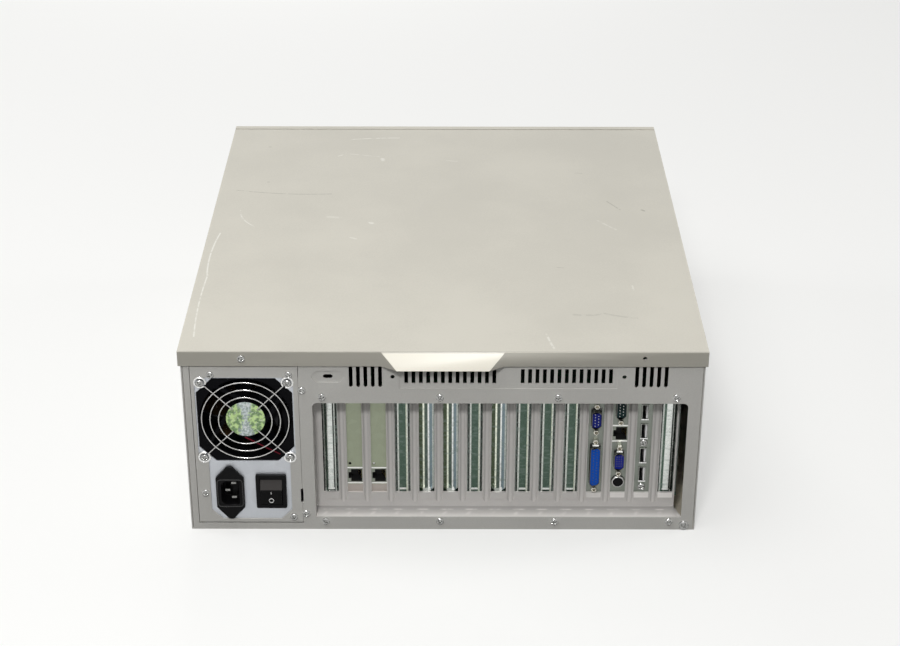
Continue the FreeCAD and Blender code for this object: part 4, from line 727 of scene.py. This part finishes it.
# %% [markdown]
# ## Network and USB sockets
# Such a socket is a black moulding in a thin tinned shield. The shield is what shows at the front, and the
# mouth behind it is black, so the depth behind the front face separates the two. Inside the USB ports that
# black is painted shade in the metal shell, and the network shields' folds above and below each mouth get
# painted highlights.

# %% Shielded socket finish
FOLD_HIGHLIGHT = (0.93, 0.93, 0.9)
MOUTH_BLACK = (0.004, 0.004, 0.004)


def jack_finish(name, node, colour, fold=None):
    """Tinned metal on the front face, black a hair behind it: moulding in a network jack, painted shade in a
    USB port.
    Fold is (a mouth's middle height, the step to the next one, the distance from the middle at which the
    painted highlights on the shield's folds begin)."""
    shader, where = start_finish(name)
    x, y, z = axes(where)
    front = corners(node)[0][1]
    inside = fade(y, front + 0.0002, front + 0.0005)
    skin = use(plated, where, Size=400.0)
    tin = mottled(skin["Tone"], colour, 0.9, 1.1)
    if fold:
        middle, step, begin = fold
        off_middle = sums("WRAP", minus(z, middle / 1000.0), step / 2000.0, -step / 2000.0)
        tin = blend(band(sums("ABSOLUTE", off_middle), begin, step), tin, FOLD_HIGHLIGHT)
    feed(shader["Metallic"], minus(1.0, inside))
    shade = blend(inside, tin, MOUTH_BLACK)
    end_finish(shader, shade, fade(inside, 0.0, 1.0, 0.28, 0.6), skin["Height"], FINE)


jack_finish("jack_shield", "network_jacks", (0.27, 0.29, 0.25), (42.2, 42.0, 6.9))
jack_finish("usb_shield", "usb_ports", (0.5, 0.52, 0.48))
print("socket finishes ready")

# %% [markdown]
# ## The tray: paint outside, zinc inside
# Only the faces that show are sprayed; inside the tray the zinc stays bare. The outer faces lie on the tray's
# box, so their distance to that box tells the painted side from the plain one.

# %% Tray finish
SKIN = 0.0003
TRAY_ZINC = (0.62, 0.57, 0.46)


def tray_finish(name, node):
    """Enamel within a hair of the node's side, bottom and rear planes, plain zinc elsewhere."""
    shader, where = start_finish(name)
    low, high = corners(node)
    x, y, z = axes(where)
    sides = fade(sums("ABSOLUTE", x), high[0] - 2 * SKIN, high[0] - SKIN)
    floor_side = fade(z, SKIN, 2 * SKIN, 1.0, 0.0)
    rear_side = fade(y, low[1] + SKIN, low[1] + 2 * SKIN, 1.0, 0.0)
    painted = sums("MAXIMUM", sums("MAXIMUM", sides, floor_side), rear_side)
    coat = use(enamel, where)
    zinc = mottled(use(plated, where, Size=90.0)["Tone"], TRAY_ZINC, 0.88, 1.1)
    shade = blend(painted, zinc, mottled(coat["Tone"], PANEL_GREY, *PAINT_DRIFT))
    feed(shader["Metallic"], fade(painted, 0.0, 1.0, 0.2, 0.0))
    end_finish(shader, shade, fade(coat["Tone"], 0.0, 1.0, 0.4, 0.5), coat["Height"], GRAINY)


tray_finish("tray_skin", "chassis_tray")
print("tray finish ready")

# %% [markdown]
# ## Finishes on the solids
# Every solid takes the finish of its material slot. A few pieces differ from their slot's usual finish and
# are named one by one: the plugs' colours, the two dull network brackets, the door.

# %% Give every solid its finish
by_slot = {
    "zinc": "frame_zinc", "panel": "panel_enamel", "bay": "bay_enamel", "cover": "cover_enamel",
    "supply": "supply_zinc", "screws": "screw_zinc", "wire": "guard_nickel", "bracket": "ridge_zinc_dark_reflection",
    "contact": "contact_tin", "heatsink": "sink_aluminium", "board": "board_green", "black": "black_plastic",
    "rocker": "rocker_plastic", "teal": "port_green", "blue": "serial_blue", "jack": "black_plastic",
    "socket": "socket_ivory", "rubber": "pad_rubber", "blank": "blank_grey", "lamp": "lamp_green"}
special = {
    "tray_skin": ["chassis_tray"], "plate_enamel": ["psu_plate"], "front_enamel": ["front_panel"],
    "door_enamel": ["front_door"], "parallel_blue": ["parallel_port"], "video_blue": ["video_port"],
    "bracket_zinc": ["lan_bracket_1", "lan_bracket_2"],
    "port_bracket_zinc": ["usb_bracket", "cpu_bracket", "serial_bracket"],
    "ridge_zinc_bright_reflection": ["slot_cover_01", "slot_cover_15"],
    "beaded_zinc_painted_reflection": ["slot_cover_05", "slot_cover_06", "slot_cover_08"],
    "shell_nickel": ["connector_shells"], "post_nickel": ["jack_posts"], "jack_shield": ["network_jacks"],
    "usb_shield": ["usb_ports"], "blade_nickel": ["inlet_blades"], "supply_board_brown": ["psu_board"],
    "fan_plastic": ["psu_fan_frame", "psu_fan_rotor", "intake_fan_frame", "intake_fan_rotor"]}
by_node = {node: name for name, nodes in special.items() for node in nodes}
finish_of = {node: finishes[by_node.get(node, by_slot[slot])] for node, slot in slot_of.items()}
for node, finish in finish_of.items():
    solid = frame["nodes"][node].data
    solid.materials.clear()
    solid.materials.append(finish)
print(len(finish_of), "solids finished with", len(set(finish_of.values())), "finishes")

# %% [markdown]
# ## Softened folds
# Bent and moulded pieces have no razor edges: a fold catches a thin line of light. A copy of the solid has
# its loose triangles merged and its flat ones joined, and a live bevel rounds every edge that turns sharply.

# %% Soften the folds
FOLD_ANGLE = 40.0
SMOOTH_ANGLE = 28.0
FLAT_ANGLE = 0.6
BRACKET_FOLD = 0.3


def shown(name, mesh, finish, sharp):
    """An object with its finish, shaded smooth but for edges that turn by more than an angle in degrees."""
    mesh.polygons.foreach_set("use_smooth", np.ones(len(mesh.polygons), bool))
    mesh.set_sharp_from_angle(angle=math.radians(sharp))
    mesh.materials.append(finish)
    return add(name, mesh)


def softened(node, width):
    """The solid's own shape with its edges rounded by width millimetres."""
    form = bmesh.new()
    form.from_mesh(frame["nodes"][node].data)
    bmesh.ops.remove_doubles(form, verts=form.verts, dist=2e-6)
    bmesh.ops.dissolve_limit(form, angle_limit=math.radians(FLAT_ANGLE), verts=form.verts, edges=form.edges)
    mesh = bpy.data.meshes.new(node + "_soft")
    form.to_mesh(mesh)
    form.free()
    made = shown(node + "_soft", mesh, finish_of[node], SMOOTH_ANGLE)
    bevel = made.modifiers.new("fold", "BEVEL")
    bevel.width = width / 1000.0
    bevel.segments = 2
    bevel.limit_method = "ANGLE"
    bevel.angle_limit = math.radians(FOLD_ANGLE)
    bevel.harden_normals = True
    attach(made, body_of[node])
    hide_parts(node)


fold_widths = {
    "top_cover": 0.5, "front_panel": 0.7, "front_door": 0.7, "psu_plate": 0.35, "rear_panel": 0.25,
    "mains_inlet": 0.6, "switch_body": 0.6, "switch_rocker": 0.5, "power_button": 0.5, "reset_button": 0.5,
    "connector_shells": 0.2, "hold_down_bar": 0.3, "drive_cage": 0.3, "hard_disk": 0.4}
fold_widths.update({node: BRACKET_FOLD for node, slot in slot_of.items() if slot == "bracket"})
for node, width in fold_widths.items():
    softened(node, width)
print("softened", sorted(fold_widths))

# %% [markdown]
# ## Surfaces from arrays
# New pieces are grids of points: one index runs along a path, the other round a profile. Neighbouring points
# make four-sided faces. Wire, pins and screws are all such grids, so a few helpers serve every piece.

# %% Helpers for grids
def grid_faces(rows, columns, wrap_rows=False):
    """Faces of a grid numbered row by row; the columns join round, and so do the rows where they wrap."""
    index = np.arange(rows * columns).reshape(rows, columns)
    if wrap_rows:
        index = np.vstack([index, index[:1]])
    index = np.hstack([index, index[:, :1]])
    return np.stack([index[:-1, :-1], index[1:, :-1], index[1:, 1:], index[:-1, 1:]], axis=-1).reshape(-1, 4)


def unit(vector):
    """Each vector divided by its length."""
    return vector / np.linalg.norm(vector, axis=-1, keepdims=True)


def full_turn(count):
    """Evenly spaced angles round a circle."""
    return np.linspace(0.0, 2 * np.pi, count, endpoint=False)


def centred(count, pitch):
    """Places a pitch apart, with zero in their middle."""
    return (np.arange(count) - (count - 1) / 2) * pitch


def wire(path, up, radius, sides=12, closed=False):
    """Round wire: each path point plus radius times (cosine across plus sine up), with closed ends."""
    steps = np.roll(path, -1, 0) - np.roll(path, 1, 0) if closed else np.gradient(path, axis=0)
    along = unit(steps)
    across = unit(np.cross(along, up))
    rise = np.cross(across, along)
    angle = full_turn(sides)[None, :, None]
    rings = path[:, None] + radius * (np.cos(angle) * across[:, None] + np.sin(angle) * rise[:, None])
    sheets = [grid_faces(len(path), sides, wrap_rows=closed)]
    if not closed:
        cap = np.arange(sides)[None]
        sheets += [cap, cap + (len(path) - 1) * sides]
    return rings.reshape(-1, 3), sheets


def turned(profile, centre, sides=16):
    """Turned form: the profile's radius swings round a line to the rear, its height runs out along it."""
    radius, height = np.asarray(profile, float).T[:, :, None]
    angle = full_turn(sides)[None]
    rings = np.stack([radius * np.cos(angle), -height + 0.0 * angle, radius * np.sin(angle)], axis=-1)
    return (np.asarray(centre) + rings).reshape(-1, 3), [grid_faces(len(profile), sides)]


def slab(low, high, corner, axis, steps=4):
    """A bar between two box corners, carried along one axis (0, 1 or 2). Each corner of its section is a
    quarter circle about a point set in by the corner radius."""
    flat = [k for k in range(3) if k != axis]
    angle = (np.linspace(0.0, np.pi / 2, steps) + np.arange(4)[:, None] * np.pi / 2).ravel()
    signs = np.repeat([[1, 1], [-1, 1], [-1, -1], [1, -1]], steps, axis=0)
    centres = (low + high)[flat] / 2 + signs * ((high - low)[flat] / 2 - corner)
    ends = np.zeros((2, len(angle), 3))
    ends[..., flat] = centres + corner * np.stack([np.cos(angle), np.sin(angle)], axis=1)
    ends[..., axis] = [[low[axis]], [high[axis]]]
    cap = np.arange(len(angle))[None]
    return ends.reshape(-1, 3), [grid_faces(2, len(angle)), cap, cap + len(angle)]


print("grid helpers ready")

# %% [markdown]
# ## From arrays to a piece
# A piece gathers several such grids into one mesh. Points that meet are merged, which closes seams and poles,
# and all faces are turned outwards. Then the piece gets its finish and its body.

# %% One piece from several grids
MERGE = 1e-6


def piece(name, parts, finish, stands_for=(), body="case", sharp=35.0):
    """One object from parts, each an array of points in millimetres with its faces; normals face outwards."""
    starts = np.cumsum([0] + [len(points) for points, sheets in parts])
    sheets = [sheet + start for start, (points, own) in zip(starts, parts) for sheet in own]
    faces = [face for sheet in sheets for face in sheet.tolist()]
    mesh = bpy.data.meshes.new(name)
    mesh.from_pydata(metres(np.vstack([points for points, own in parts])).tolist(), [], faces)
    form = bmesh.new()
    form.from_mesh(mesh)
    bmesh.ops.remove_doubles(form, verts=form.verts, dist=MERGE)
    bmesh.ops.recalc_face_normals(form, faces=form.faces)
    form.to_mesh(mesh)
    form.free()
    made = shown(name, mesh, finishes[finish], sharp)
    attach(made, body)
    if stands_for:
        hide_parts(*stands_for)
    print(name, len(mesh.vertices), "points")


print("pieces can be made")

# %% [markdown]
# ## Fan guard
# The guard is bright round wire: three rings welded on four spokes, and each spoke's end is bent into an eye
# under a fan screw. Flat polygons would do for collision, but the wire's white glints need a round section.

# %% Fan guard of round wire
FAN = ruler("psu_fan_frame").mean(axis=0)
WIRE = 0.54
SPOKE_Y = ruler("psu_fan_guard")[1][1] - 0.65
RING_Y = SPOKE_Y - 1.7 * WIRE
RING_RADII = (36.1, 29.1, 22.1)
SPOKE_START = 14.5
HOLE_REACH = 35.75 * math.sqrt(2.0)
EYE = 4.5
EYE_TURNS = 0.93
EYE_WIRE = 0.95
OUT = np.array([0.0, -1.0, 0.0])


def about_fan(u, v, y, degrees=0.0):
    """Points (u, v) in the guard's plane, turned about the fan's axis and set at a depth."""
    cosine, sine = math.cos(math.radians(degrees)), math.sin(math.radians(degrees))
    x, z = u * cosine - v * sine, u * sine + v * cosine
    return np.stack([FAN[0] + x, np.full(len(u), y), FAN[2] + z], axis=1)


swing = full_turn(96)
run = np.linspace(SPOKE_START, HOLE_REACH - EYE, 24)
arc = np.linspace(np.pi, np.pi - EYE_TURNS * 2 * np.pi, 40)
guard = [wire(about_fan(radius * np.cos(swing), radius * np.sin(swing), RING_Y), OUT, WIRE, closed=True)
         for radius in RING_RADII]
eyes = []
for degrees in (45.0, 135.0, 225.0, 315.0):
    guard.append(wire(about_fan(run, 0.0 * run, SPOKE_Y, degrees), OUT, WIRE))
    bend = about_fan(HOLE_REACH + EYE * np.cos(arc), EYE * np.sin(arc), SPOKE_Y, degrees)
    eyes.append(wire(bend, OUT, EYE_WIRE))
piece("fan_guard_wire", guard, "guard_nickel", ["psu_fan_guard"])
# The eyes are near-white tin: a painted glint.
piece("fan_guard_eyes", eyes, "glint_tin")

# %% [markdown]
# ## Places of the screws
# The screws' places are read from the solids. A node may hold many loose solids, which are told apart by the
# triangles that share corners. Each one is a short rod whose wide end is the head.

# %% Find the screws
def read(items, key, columns=1):
    """One property of all points, corners or faces of a mesh, as rows of an array."""
    values = np.zeros(len(items) * columns)
    items.foreach_get(key, values)
    return values.reshape(-1, columns)


def loose_solids(node):
    """The point sets of a node's separate solids: every triangle takes the lowest number among its corners
    until nothing changes."""
    mesh = frame["nodes"][node].data
    points = from_rear(read(mesh.vertices, "co", 3))
    spots, same = np.unique(points.round(3), axis=0, return_inverse=True)
    triangles = same.reshape(-1)[read(mesh.loops, "vertex_index").astype(int)].reshape(-1, 3)
    labels = np.arange(len(spots))
    before = None
    while before is None or (labels != before).any():
        before = labels.copy()
        lowest = labels[triangles].min(axis=1)
        for k in range(3):
            np.minimum.at(labels, triangles[:, k], lowest)
    return [spots[labels == label] for label in np.unique(labels)]


def loose_boxes(node):
    """Lowest and highest corner of each of a node's separate solids."""
    return [(points.min(axis=0), points.max(axis=0)) for points in loose_solids(node)]


def screw_place(points):
    """Top of the head, the outward axis, the head's radius and the whole length of one screw. The axis is the
    one whose two cross spans agree."""
    low, high = points.min(axis=0), points.max(axis=0)
    spans = high - low
    run = int(np.argmin(np.abs(np.roll(spans, -1) - np.roll(spans, -2))))
    middle = (low + high) / 2
    aside = points - middle
    aside[:, run] = 0.0
    reach = np.linalg.norm(aside, axis=1)
    wide = points[reach > 0.9 * reach.max()][:, run].mean()
    axis = np.zeros(3)
    axis[run] = 1.0 if wide > middle[run] else -1.0
    return middle + axis * spans[run] / 2, axis, reach.max(), spans[run]


screw_nodes = {"machine_screws": "driven_screws", "cover_screw": "cover_screw_driven"}
screw_sets = {node: [screw_place(points) for points in loose_solids(node)] for node in screw_nodes}
print({node: len(found) for node, found in screw_sets.items()})

# %% [markdown]
# ## Screws
# The screws have low rounded heads with a cross recess. One head is a disc of points with a height over each:
# a dome, less a cross-shaped dip. Placing it on every axis is one sum over whole arrays. A fitter leaves each
# recess at its own angle, so each head gets a random turn from a fixed seed.

# %% Pan heads with a cross recess
HEAD_TALL = 2.0
SHANK = 1.5
SPOKES = 32
DOME_DROP = 0.62
ARM_LONG = 0.62
ARM_WIDE = 0.17
DIP = 1.1
SPIN_SEED = 5


def head_form(radius, rings=13):
    """Disc grid with a height over each point: a dome falling to the rim, less a cross-shaped dip."""
    reach = np.linspace(0.0, 1.0, rings)[:, None]
    angle = full_turn(SPOKES)[None, :]
    u, v = reach * np.cos(angle), reach * np.sin(angle)
    dome = -DOME_DROP * HEAD_TALL * (1.0 - np.sqrt(np.clip(1.0 - 0.92 * reach ** 2.4, 0.0, 1.0)))
    level = np.maximum(np.abs(u) / ARM_LONG, np.abs(v) / ARM_WIDE)
    upright = np.maximum(np.abs(v) / ARM_LONG, np.abs(u) / ARM_WIDE)
    dip = DIP * np.clip((1.15 - np.minimum(level, upright)) / 0.3, 0.0, 1.0)
    return np.stack([u * radius, v * radius, dome - dip], axis=-1)


def screw_form(radius, length):
    """Head grid, then rings down the head's rim, under it and down the shank to a closed tip."""
    reach = np.array([radius, SHANK, SHANK, 0.6 * SHANK, 0.0])[:, None]
    height = np.array([-HEAD_TALL, -HEAD_TALL, 0.4 - length, -length, -length])[:, None]
    angle = full_turn(SPOKES)[None, :]
    below = np.stack([reach * np.cos(angle), reach * np.sin(angle), height + 0.0 * angle], axis=-1)
    return np.vstack([head_form(radius), below])


def screws(places):
    """All screws of one node: the form's three parts times each screw's side, other side and axis."""
    spin = np.random.default_rng(SPIN_SEED).uniform(0.0, np.pi / 2, len(places))
    parts = []
    for (top, axis, radius, length), angle in zip(places, spin):
        form = screw_form(radius, length)
        across = np.array([0.0, 0.0, 1.0]) if abs(axis[2]) < 0.5 else np.array([1.0, 0.0, 0.0])
        side = math.cos(angle) * across + math.sin(angle) * np.cross(axis, across)
        other = np.cross(axis, side)
        points = top + form[..., :1] * side + form[..., 1:2] * other + form[..., 2:] * axis
        parts.append((points.reshape(-1, 3), [grid_faces(*form.shape[:2])]))
    return parts


for node, name in screw_nodes.items():
    piece(name, screws(screw_sets[node]), "screw_zinc", [node], body_of[node])

# %% [markdown]
# ## Fan sticker
# The hub carries a round foil sticker in yellow-green and silver. Soft blocks of colour shimmer on it, and
# two white spots are painted glints. The disc is turned from a flat profile, and its colours are worked out
# from its own coordinates.

# %% Sticker on the hub
HUB = np.array([FAN[0], ruler("psu_fan_frame")[0][1], FAN[2]])
FOIL = [(0.0, 0.22), (11.0, 0.22), (15.6, 0.2), (16.1, 0.12), (16.25, 0.0), (0.0, 0.0)]
SILVERS = ((0.38, 0.48, 0.44), (0.88, 0.95, 0.97))
LIMES = ((0.22, 0.37, 0.17), (0.72, 0.95, 0.42))
LIME_GLEAM = (0.85, 0.95, 0.75)
PAINTED_GLINT_WHITE = (0.97, 1.0, 1.0)
PAINTED_GLINTS = ((0.0, -7.6, 3.4), (1.2, 13.6, 3.0))
WAIST = 0.0016


def sticker_finish(name, centre):
    """Foil in mottled lime with a waisted silver band and two painted white glints."""
    shader, where = start_finish(name)
    own = place("Mapping", Vector=where, Location=tuple(-centre)).outputs[0]
    x, y, z = axes(own)
    wide = sums("ADD", WAIST, times(sums("ABSOLUTE", z), 0.3))
    shimmer = noise(own, 420.0, 3.0)
    ragged = sums("ADD", sums("ABSOLUTE", x), fade(shimmer, 0.3, 0.7, -0.002, 0.002))
    lobes = fade(minus(ragged, wide), -0.0006, 0.001)
    silver = blend(fade(shimmer, 0.35, 0.65), *SILVERS)
    green = blend(fade(noise(own, 240.0), 0.4, 0.6), *LIMES)
    green = blend(fade(shimmer, 0.56, 0.66, 0.0, 0.7), green, LIME_GLEAM)
    shade = blend(lobes, silver, green)
    for across, height, reach in PAINTED_GLINTS:
        spot = vectors("DISTANCE", own, (across / 1000.0, 0.0, height / 1000.0))
        near = fade(spot, 0.0, reach / 1000.0, 1.0, 0.0)
        shade = blend(times(near, fade(shimmer, 0.3, 0.6)), shade, PAINTED_GLINT_WHITE)
    end_finish(shader, shade, fade(shimmer, 0.3, 0.7, 0.28, 0.42), shimmer, FINE)


sticker_finish("hub_foil", metres(HUB))
piece("hub_sticker", [turned(FOIL, HUB, 64)], "hub_foil")

# %% [markdown]
# ## Fan lead
# One lead of the fan shows: it leaves the hub under the sticker and lies on a strut down to the corner of the
# frame. It is a round wire along a straight path with a slight sway towards the strut.

# %% Lead on the strut
LEAD = 0.6
LEAD_START = (-1.2, -0.56, -17.0)
LEAD_RUN = (28.6, 0.0, -16.5)
SWAY = 0.1
run = np.linspace(0.0, 1.0, 24)[:, None]
lead_path = HUB + LEAD_START + run * LEAD_RUN - SWAY * np.sin(9.0 * run) * OUT
piece("fan_lead", [wire(lead_path, OUT, LEAD)], "lead_red")

# %% [markdown]
# ## Contacts of the plugs
# The plugs' faces carry rows of small contacts. The two nine-way plugs have pins with rounded tips, the
# parallel and the video one have sockets: tiny collars round a hole. Each contact is a turned form.

# %% Pins and collars in the D-shaped plugs
PIN = [(0.0, 0.75), (0.32, 0.66), (0.5, 0.4), (0.5, -0.2), (0.0, -0.2)]
COLLAR = [(0.0, -0.1), (0.3, -0.1), (0.3, 0.06), (0.55, 0.06), (0.55, -0.2), (0.0, -0.2)]
WIDE_PITCH = (2.77, 2.84)
VIDEO_PITCH = (2.29, 1.98)


def contact_rows(node, form, rows, pitches):
    """Contacts over a plug's face: every row is centred, its contacts a pitch apart along Z."""
    low, high = ruler(node)
    x, y, z = (low + high) / 2
    pitch, row_gap = pitches
    return [turned(form, (x + aside, low[1], z + rise), 8)
            for aside, count in zip(centred(len(rows), row_gap), rows) for rise in centred(count, pitch)]


pins = contact_rows("serial_port", PIN, (5, 4), WIDE_PITCH)
pins += contact_rows("com_port", PIN, (5, 4), WIDE_PITCH)
# The nine-way pins are near-white tin for painted glints on their tips.
piece("serial_pins", pins, "glint_tin")
collars = contact_rows("parallel_port", COLLAR, (13, 12), WIDE_PITCH)
collars += contact_rows("video_port", COLLAR, (5, 5, 5), VIDEO_PITCH)
piece("plug_contacts", collars, "shell_nickel")

# %% [markdown]
# ## Posts and lips of the plugs
# A plug is held by two hexagon posts, each with a threaded hole for the cable's thumb screw. The folded lip
# at the upper end of a plug's shell and the flared lip below a USB shell's mouth are near-white tin, a
# painted glint.

# %% Hexagon posts, shell lips, USB lips
POST = [(0.0, 1.2), (1.25, 1.2), (1.25, 4.6), (1.55, 5.0), (2.2, 5.0), (2.6, 4.6), (2.6, 0.0), (0.0, 0.0)]
PLUG_LIP = ((-2.5, -0.1, 0.2), (2.5, 1.6, 1.7))
USB_LIP = ((-0.2, -0.5, -0.5), (0.2, 0.2, 0.5))
posts = []
for low, high in loose_boxes("jack_posts"):
    x, y, z = (low + high) / 2
    posts.append(turned(POST, (x, high[1], z), 6))
piece("hexagon_posts", posts, "post_nickel", ["jack_posts"], sharp=20.0)
lips = []
for node in ("parallel_port", "video_port"):
    low, high = ruler(node)
    top = np.array([(low[0] + high[0]) / 2, low[1], high[2]])
    lips.append(slab(top + PLUG_LIP[0], top + PLUG_LIP[1], 0.35, 0))
for low, high in loose_boxes("usb_ports"):
    lips.append(slab(low + USB_LIP[0], np.array([high[0], low[1], low[2]]) + USB_LIP[1], 0.2, 0))
piece("shell_lips", lips, "glint_tin")

# %% [markdown]
# ## Inside the sockets
# A network socket holds eight springy gilt contacts, a USB port a pale tongue, and the round keyboard socket
# a metal sleeve round its black face. They are small, but the eye misses them in an empty opening.

# %% Network contacts, USB tongues, keyboard sleeve
JACKS = ((-74.83, 42.2), (-54.51, 42.2), (148.69, 84.2))
SPRING = np.array([(5.4, 20.5, 0.0), (5.0, 23.0, 0.0), (2.6, 27.0, 0.0), (2.2, 28.4, 0.0)])
SPRING_PITCH = 1.02
TONGUE = ((-2.1, 0.15, 0.9), (-0.8, -1.5, -1.4))
KEYBOARD = np.array([148.69, ruler("keyboard_port")[0][1], 37.0])
SLEEVE = [(4.5, -0.05), (4.5, 0.9), (4.9, 0.9), (5.3, 0.6), (5.55, -0.05), (4.5, -0.05)]
springs = [wire(SPRING + [x, 0.0, z + rise], (0, 0, 1), 0.2, 6)
           for x, z in JACKS for rise in centred(8, SPRING_PITCH)]
piece("network_contacts", springs, "contact_gilt")
tongues = [slab(np.array([high[0], low[1], low[2]]) + TONGUE[0], high + TONGUE[1], 0.25, 1)
           for low, high in loose_boxes("usb_ports")]
piece("usb_tongues", tongues, "tongue_white")
piece("keyboard_sleeve", [turned(SLEEVE, KEYBOARD, 40)], "contact_tin")

# %% [markdown]
# ## Lens and bead
# One network bracket shows the clear lens of its link lamp, a small turned dome. The mouth of the mains inlet
# has a raised bead: a round wire along a rounded rectangle, which is a circle with its cosine and sine raised
# to a small power.

# %% Lens of the link lamp, bead round the mains inlet
LENS = np.array([-58.71, ruler("network_jacks")[0][1] + 0.3, 54.0])
DOME = [(0.0, 0.6), (0.5, 0.52), (0.85, 0.2), (1.0, -0.5), (0.0, -0.5)]
BEAD_HALF = np.array([10.6, 13.2])
BEAD_POWER = 0.2
BEAD_WIRE = 0.45
BEAD_SUNK = 0.1
piece("link_lamp_lens", [turned(DOME, LENS)], "tongue_white")
inlet = ruler("mains_inlet")
circle = np.stack([np.cos(swing), np.sin(swing)], axis=1)
oblong = inlet.mean(axis=0)[[0, 2]] + BEAD_HALF * np.sign(circle) * np.abs(circle) ** BEAD_POWER
bead = np.insert(oblong, 1, inlet[0][1] + BEAD_SUNK, axis=1)
piece("inlet_bead", [wire(bead, OUT, BEAD_WIRE, 8, True)], "bead_plastic")

# %% [markdown]
# ## Marks on the switch
# The rocker's lower half carries a small white dash and a ring, printed on its face. The face leans, so its
# plane is measured from the solid: the mean place and direction of the triangles below the ridge.

# %% Dash and ring on the rocker
RIDGE_HEIGHT = 38.0
LIFT = 0.02
RING_BELOW = 2.4
RING_RADIUS = 1.9
RING_LINE = 0.34
DASH = np.array([[4.0], [5.0], [6.0]])
DASH_LINE = 0.4


def face_plane(node, below):
    """Area-weighted centre and normal of the outward faces whose centres lie below a height."""
    faces = frame["nodes"][node].data.polygons
    centres, normals = from_rear(read(faces, "center", 3)), read(faces, "normal", 3)
    kept = (normals[:, 1] < -0.8) & (centres[:, 2] < below)
    areas = read(faces, "area")[kept, 0]
    return [np.average(rows[kept], axis=0, weights=areas) for rows in (centres, normals)]


spot, normal = face_plane("switch_rocker", RIDGE_HEIGHT)
outward = unit(normal)
across = np.array([1.0, 0.0, 0.0])
upward = unit(np.cross(outward, across))
angle = full_turn(40)[:, None]
lifted = spot + LIFT * outward
ring = lifted - RING_BELOW * upward + RING_RADIUS * (np.cos(angle) * across + np.sin(angle) * upward)
printed = [wire(ring, outward, RING_LINE, 8, True), wire(lifted + DASH * upward, outward, DASH_LINE, 8)]
piece("rocker_marks", printed, "print_white", body="rocker")

# %% [markdown]
# ## Floor and light
# The case stands on a plain pale floor under soft studio light: a wide panel overhead, a smaller one behind
# the camera for the rear face, a faint one for the sloping pull, and low fills for sides and front.

# %% Floor, lamps and sky
REACH = 6.0
CLOUDS = ((0.66, 0.66, 0.65), (0.70, 0.70, 0.69))
FLOOR_BOUNCE = (0.12, 0.12, 0.115)
FLOOR_SEEN = (0.45, 0.45, 0.44)
FLOOR_GLOW = (0.46, 0.46, 0.455)
SKY_COLOUR = (0.98, 0.98, 0.97, 1.0)
SKY_LIGHT = 0.07
SKY_SEEN = 0.85


def seen_rays():
    """Two masks: one for camera, mirrored and see-through rays together, one for camera rays alone."""
    ray = place("LightPath").outputs
    direct = sums("MAXIMUM", ray["Is Camera Ray"], ray["Is Glossy Ray"])
    return sums("MAXIMUM", direct, ray["Is Transmission Ray"]), ray["Is Camera Ray"]


def floor_finish(name):
    """Pale floor with a faint cloud; it throws little light on the case and looks even to the camera."""
    shader, where = start_finish(name)
    direct, camera_ray = seen_rays()
    shade = blend(direct, FLOOR_BOUNCE, blend(noise(where, 3.0), *CLOUDS))
    feed(shader["Base Color"], blend(camera_ray, shade, FLOOR_SEEN))
    feed(shader["Emission Color"], blend(camera_ray, (0.0, 0.0, 0.0), FLOOR_GLOW))
    shader["Emission Strength"].default_value = 1.0
    shader["Roughness"].default_value = 0.7


def lamp(name, place_m, aim_m, size, watts, mirrored=True):
    """A square soft light that faces a point; if not mirrored, it lights the paint but shows in no gloss."""
    light = bpy.data.lights.new(name, "AREA")
    light.size = size
    light.energy = watts
    made = add(name, light)
    made.location = place_m
    made.visible_camera = False
    made.visible_glossy = mirrored
    made.rotation_mode = "QUATERNION"
    made.rotation_quaternion = (Vector(aim_m) - Vector(place_m)).to_track_quat("-Z", "Y")


floor_finish("studio_floor")
ground = bpy.data.meshes.new("studio_floor")
rim = [(-REACH, -REACH, 0), (REACH, -REACH, 0), (REACH, REACH, 0), (-REACH, REACH, 0)]
ground.from_pydata(rim, [], [(0, 1, 2, 3)])
ground.materials.append(finishes["studio_floor"])
floor = add("studio_floor", ground)
lamp("ceiling_panel", (-0.6, -0.3, 2.3), (0.0, 0.0, 0.1), 1.8, 29.5)
lamp("rear_panel_light", (-0.25, -1.75, 1.75), (0.0, -0.24, 0.1), 0.3, 23.0)
lamp("pull_glint", (0.0, -2.1, 1.34), (0.0, -0.24, 0.16), 0.25, 4.0)
lamp("left_fill", (-2.2, 0.35, 0.55), (0.0, 0.0, 0.1), 0.6, 18.0, mirrored=False)
lamp("right_fill", (2.2, 0.35, 0.55), (0.0, 0.0, 0.1), 0.6, 15.0, mirrored=False)
lamp("front_fill", (-0.3, 2.4, 0.55), (0.0, 0.25, 0.12), 0.5, 19.0, mirrored=False)
sky = bpy.data.worlds.new("studio_sky")
sky.use_nodes = True
bpy.context.scene.world = sky
bench["tree"] = sky.node_tree
backdrop = sky.node_tree.nodes["Background"].inputs
feed(backdrop["Color"], SKY_COLOUR)
feed(backdrop["Strength"], fade(seen_rays()[0], 0.0, 1.0, SKY_LIGHT, SKY_SEEN))
print("stage set")
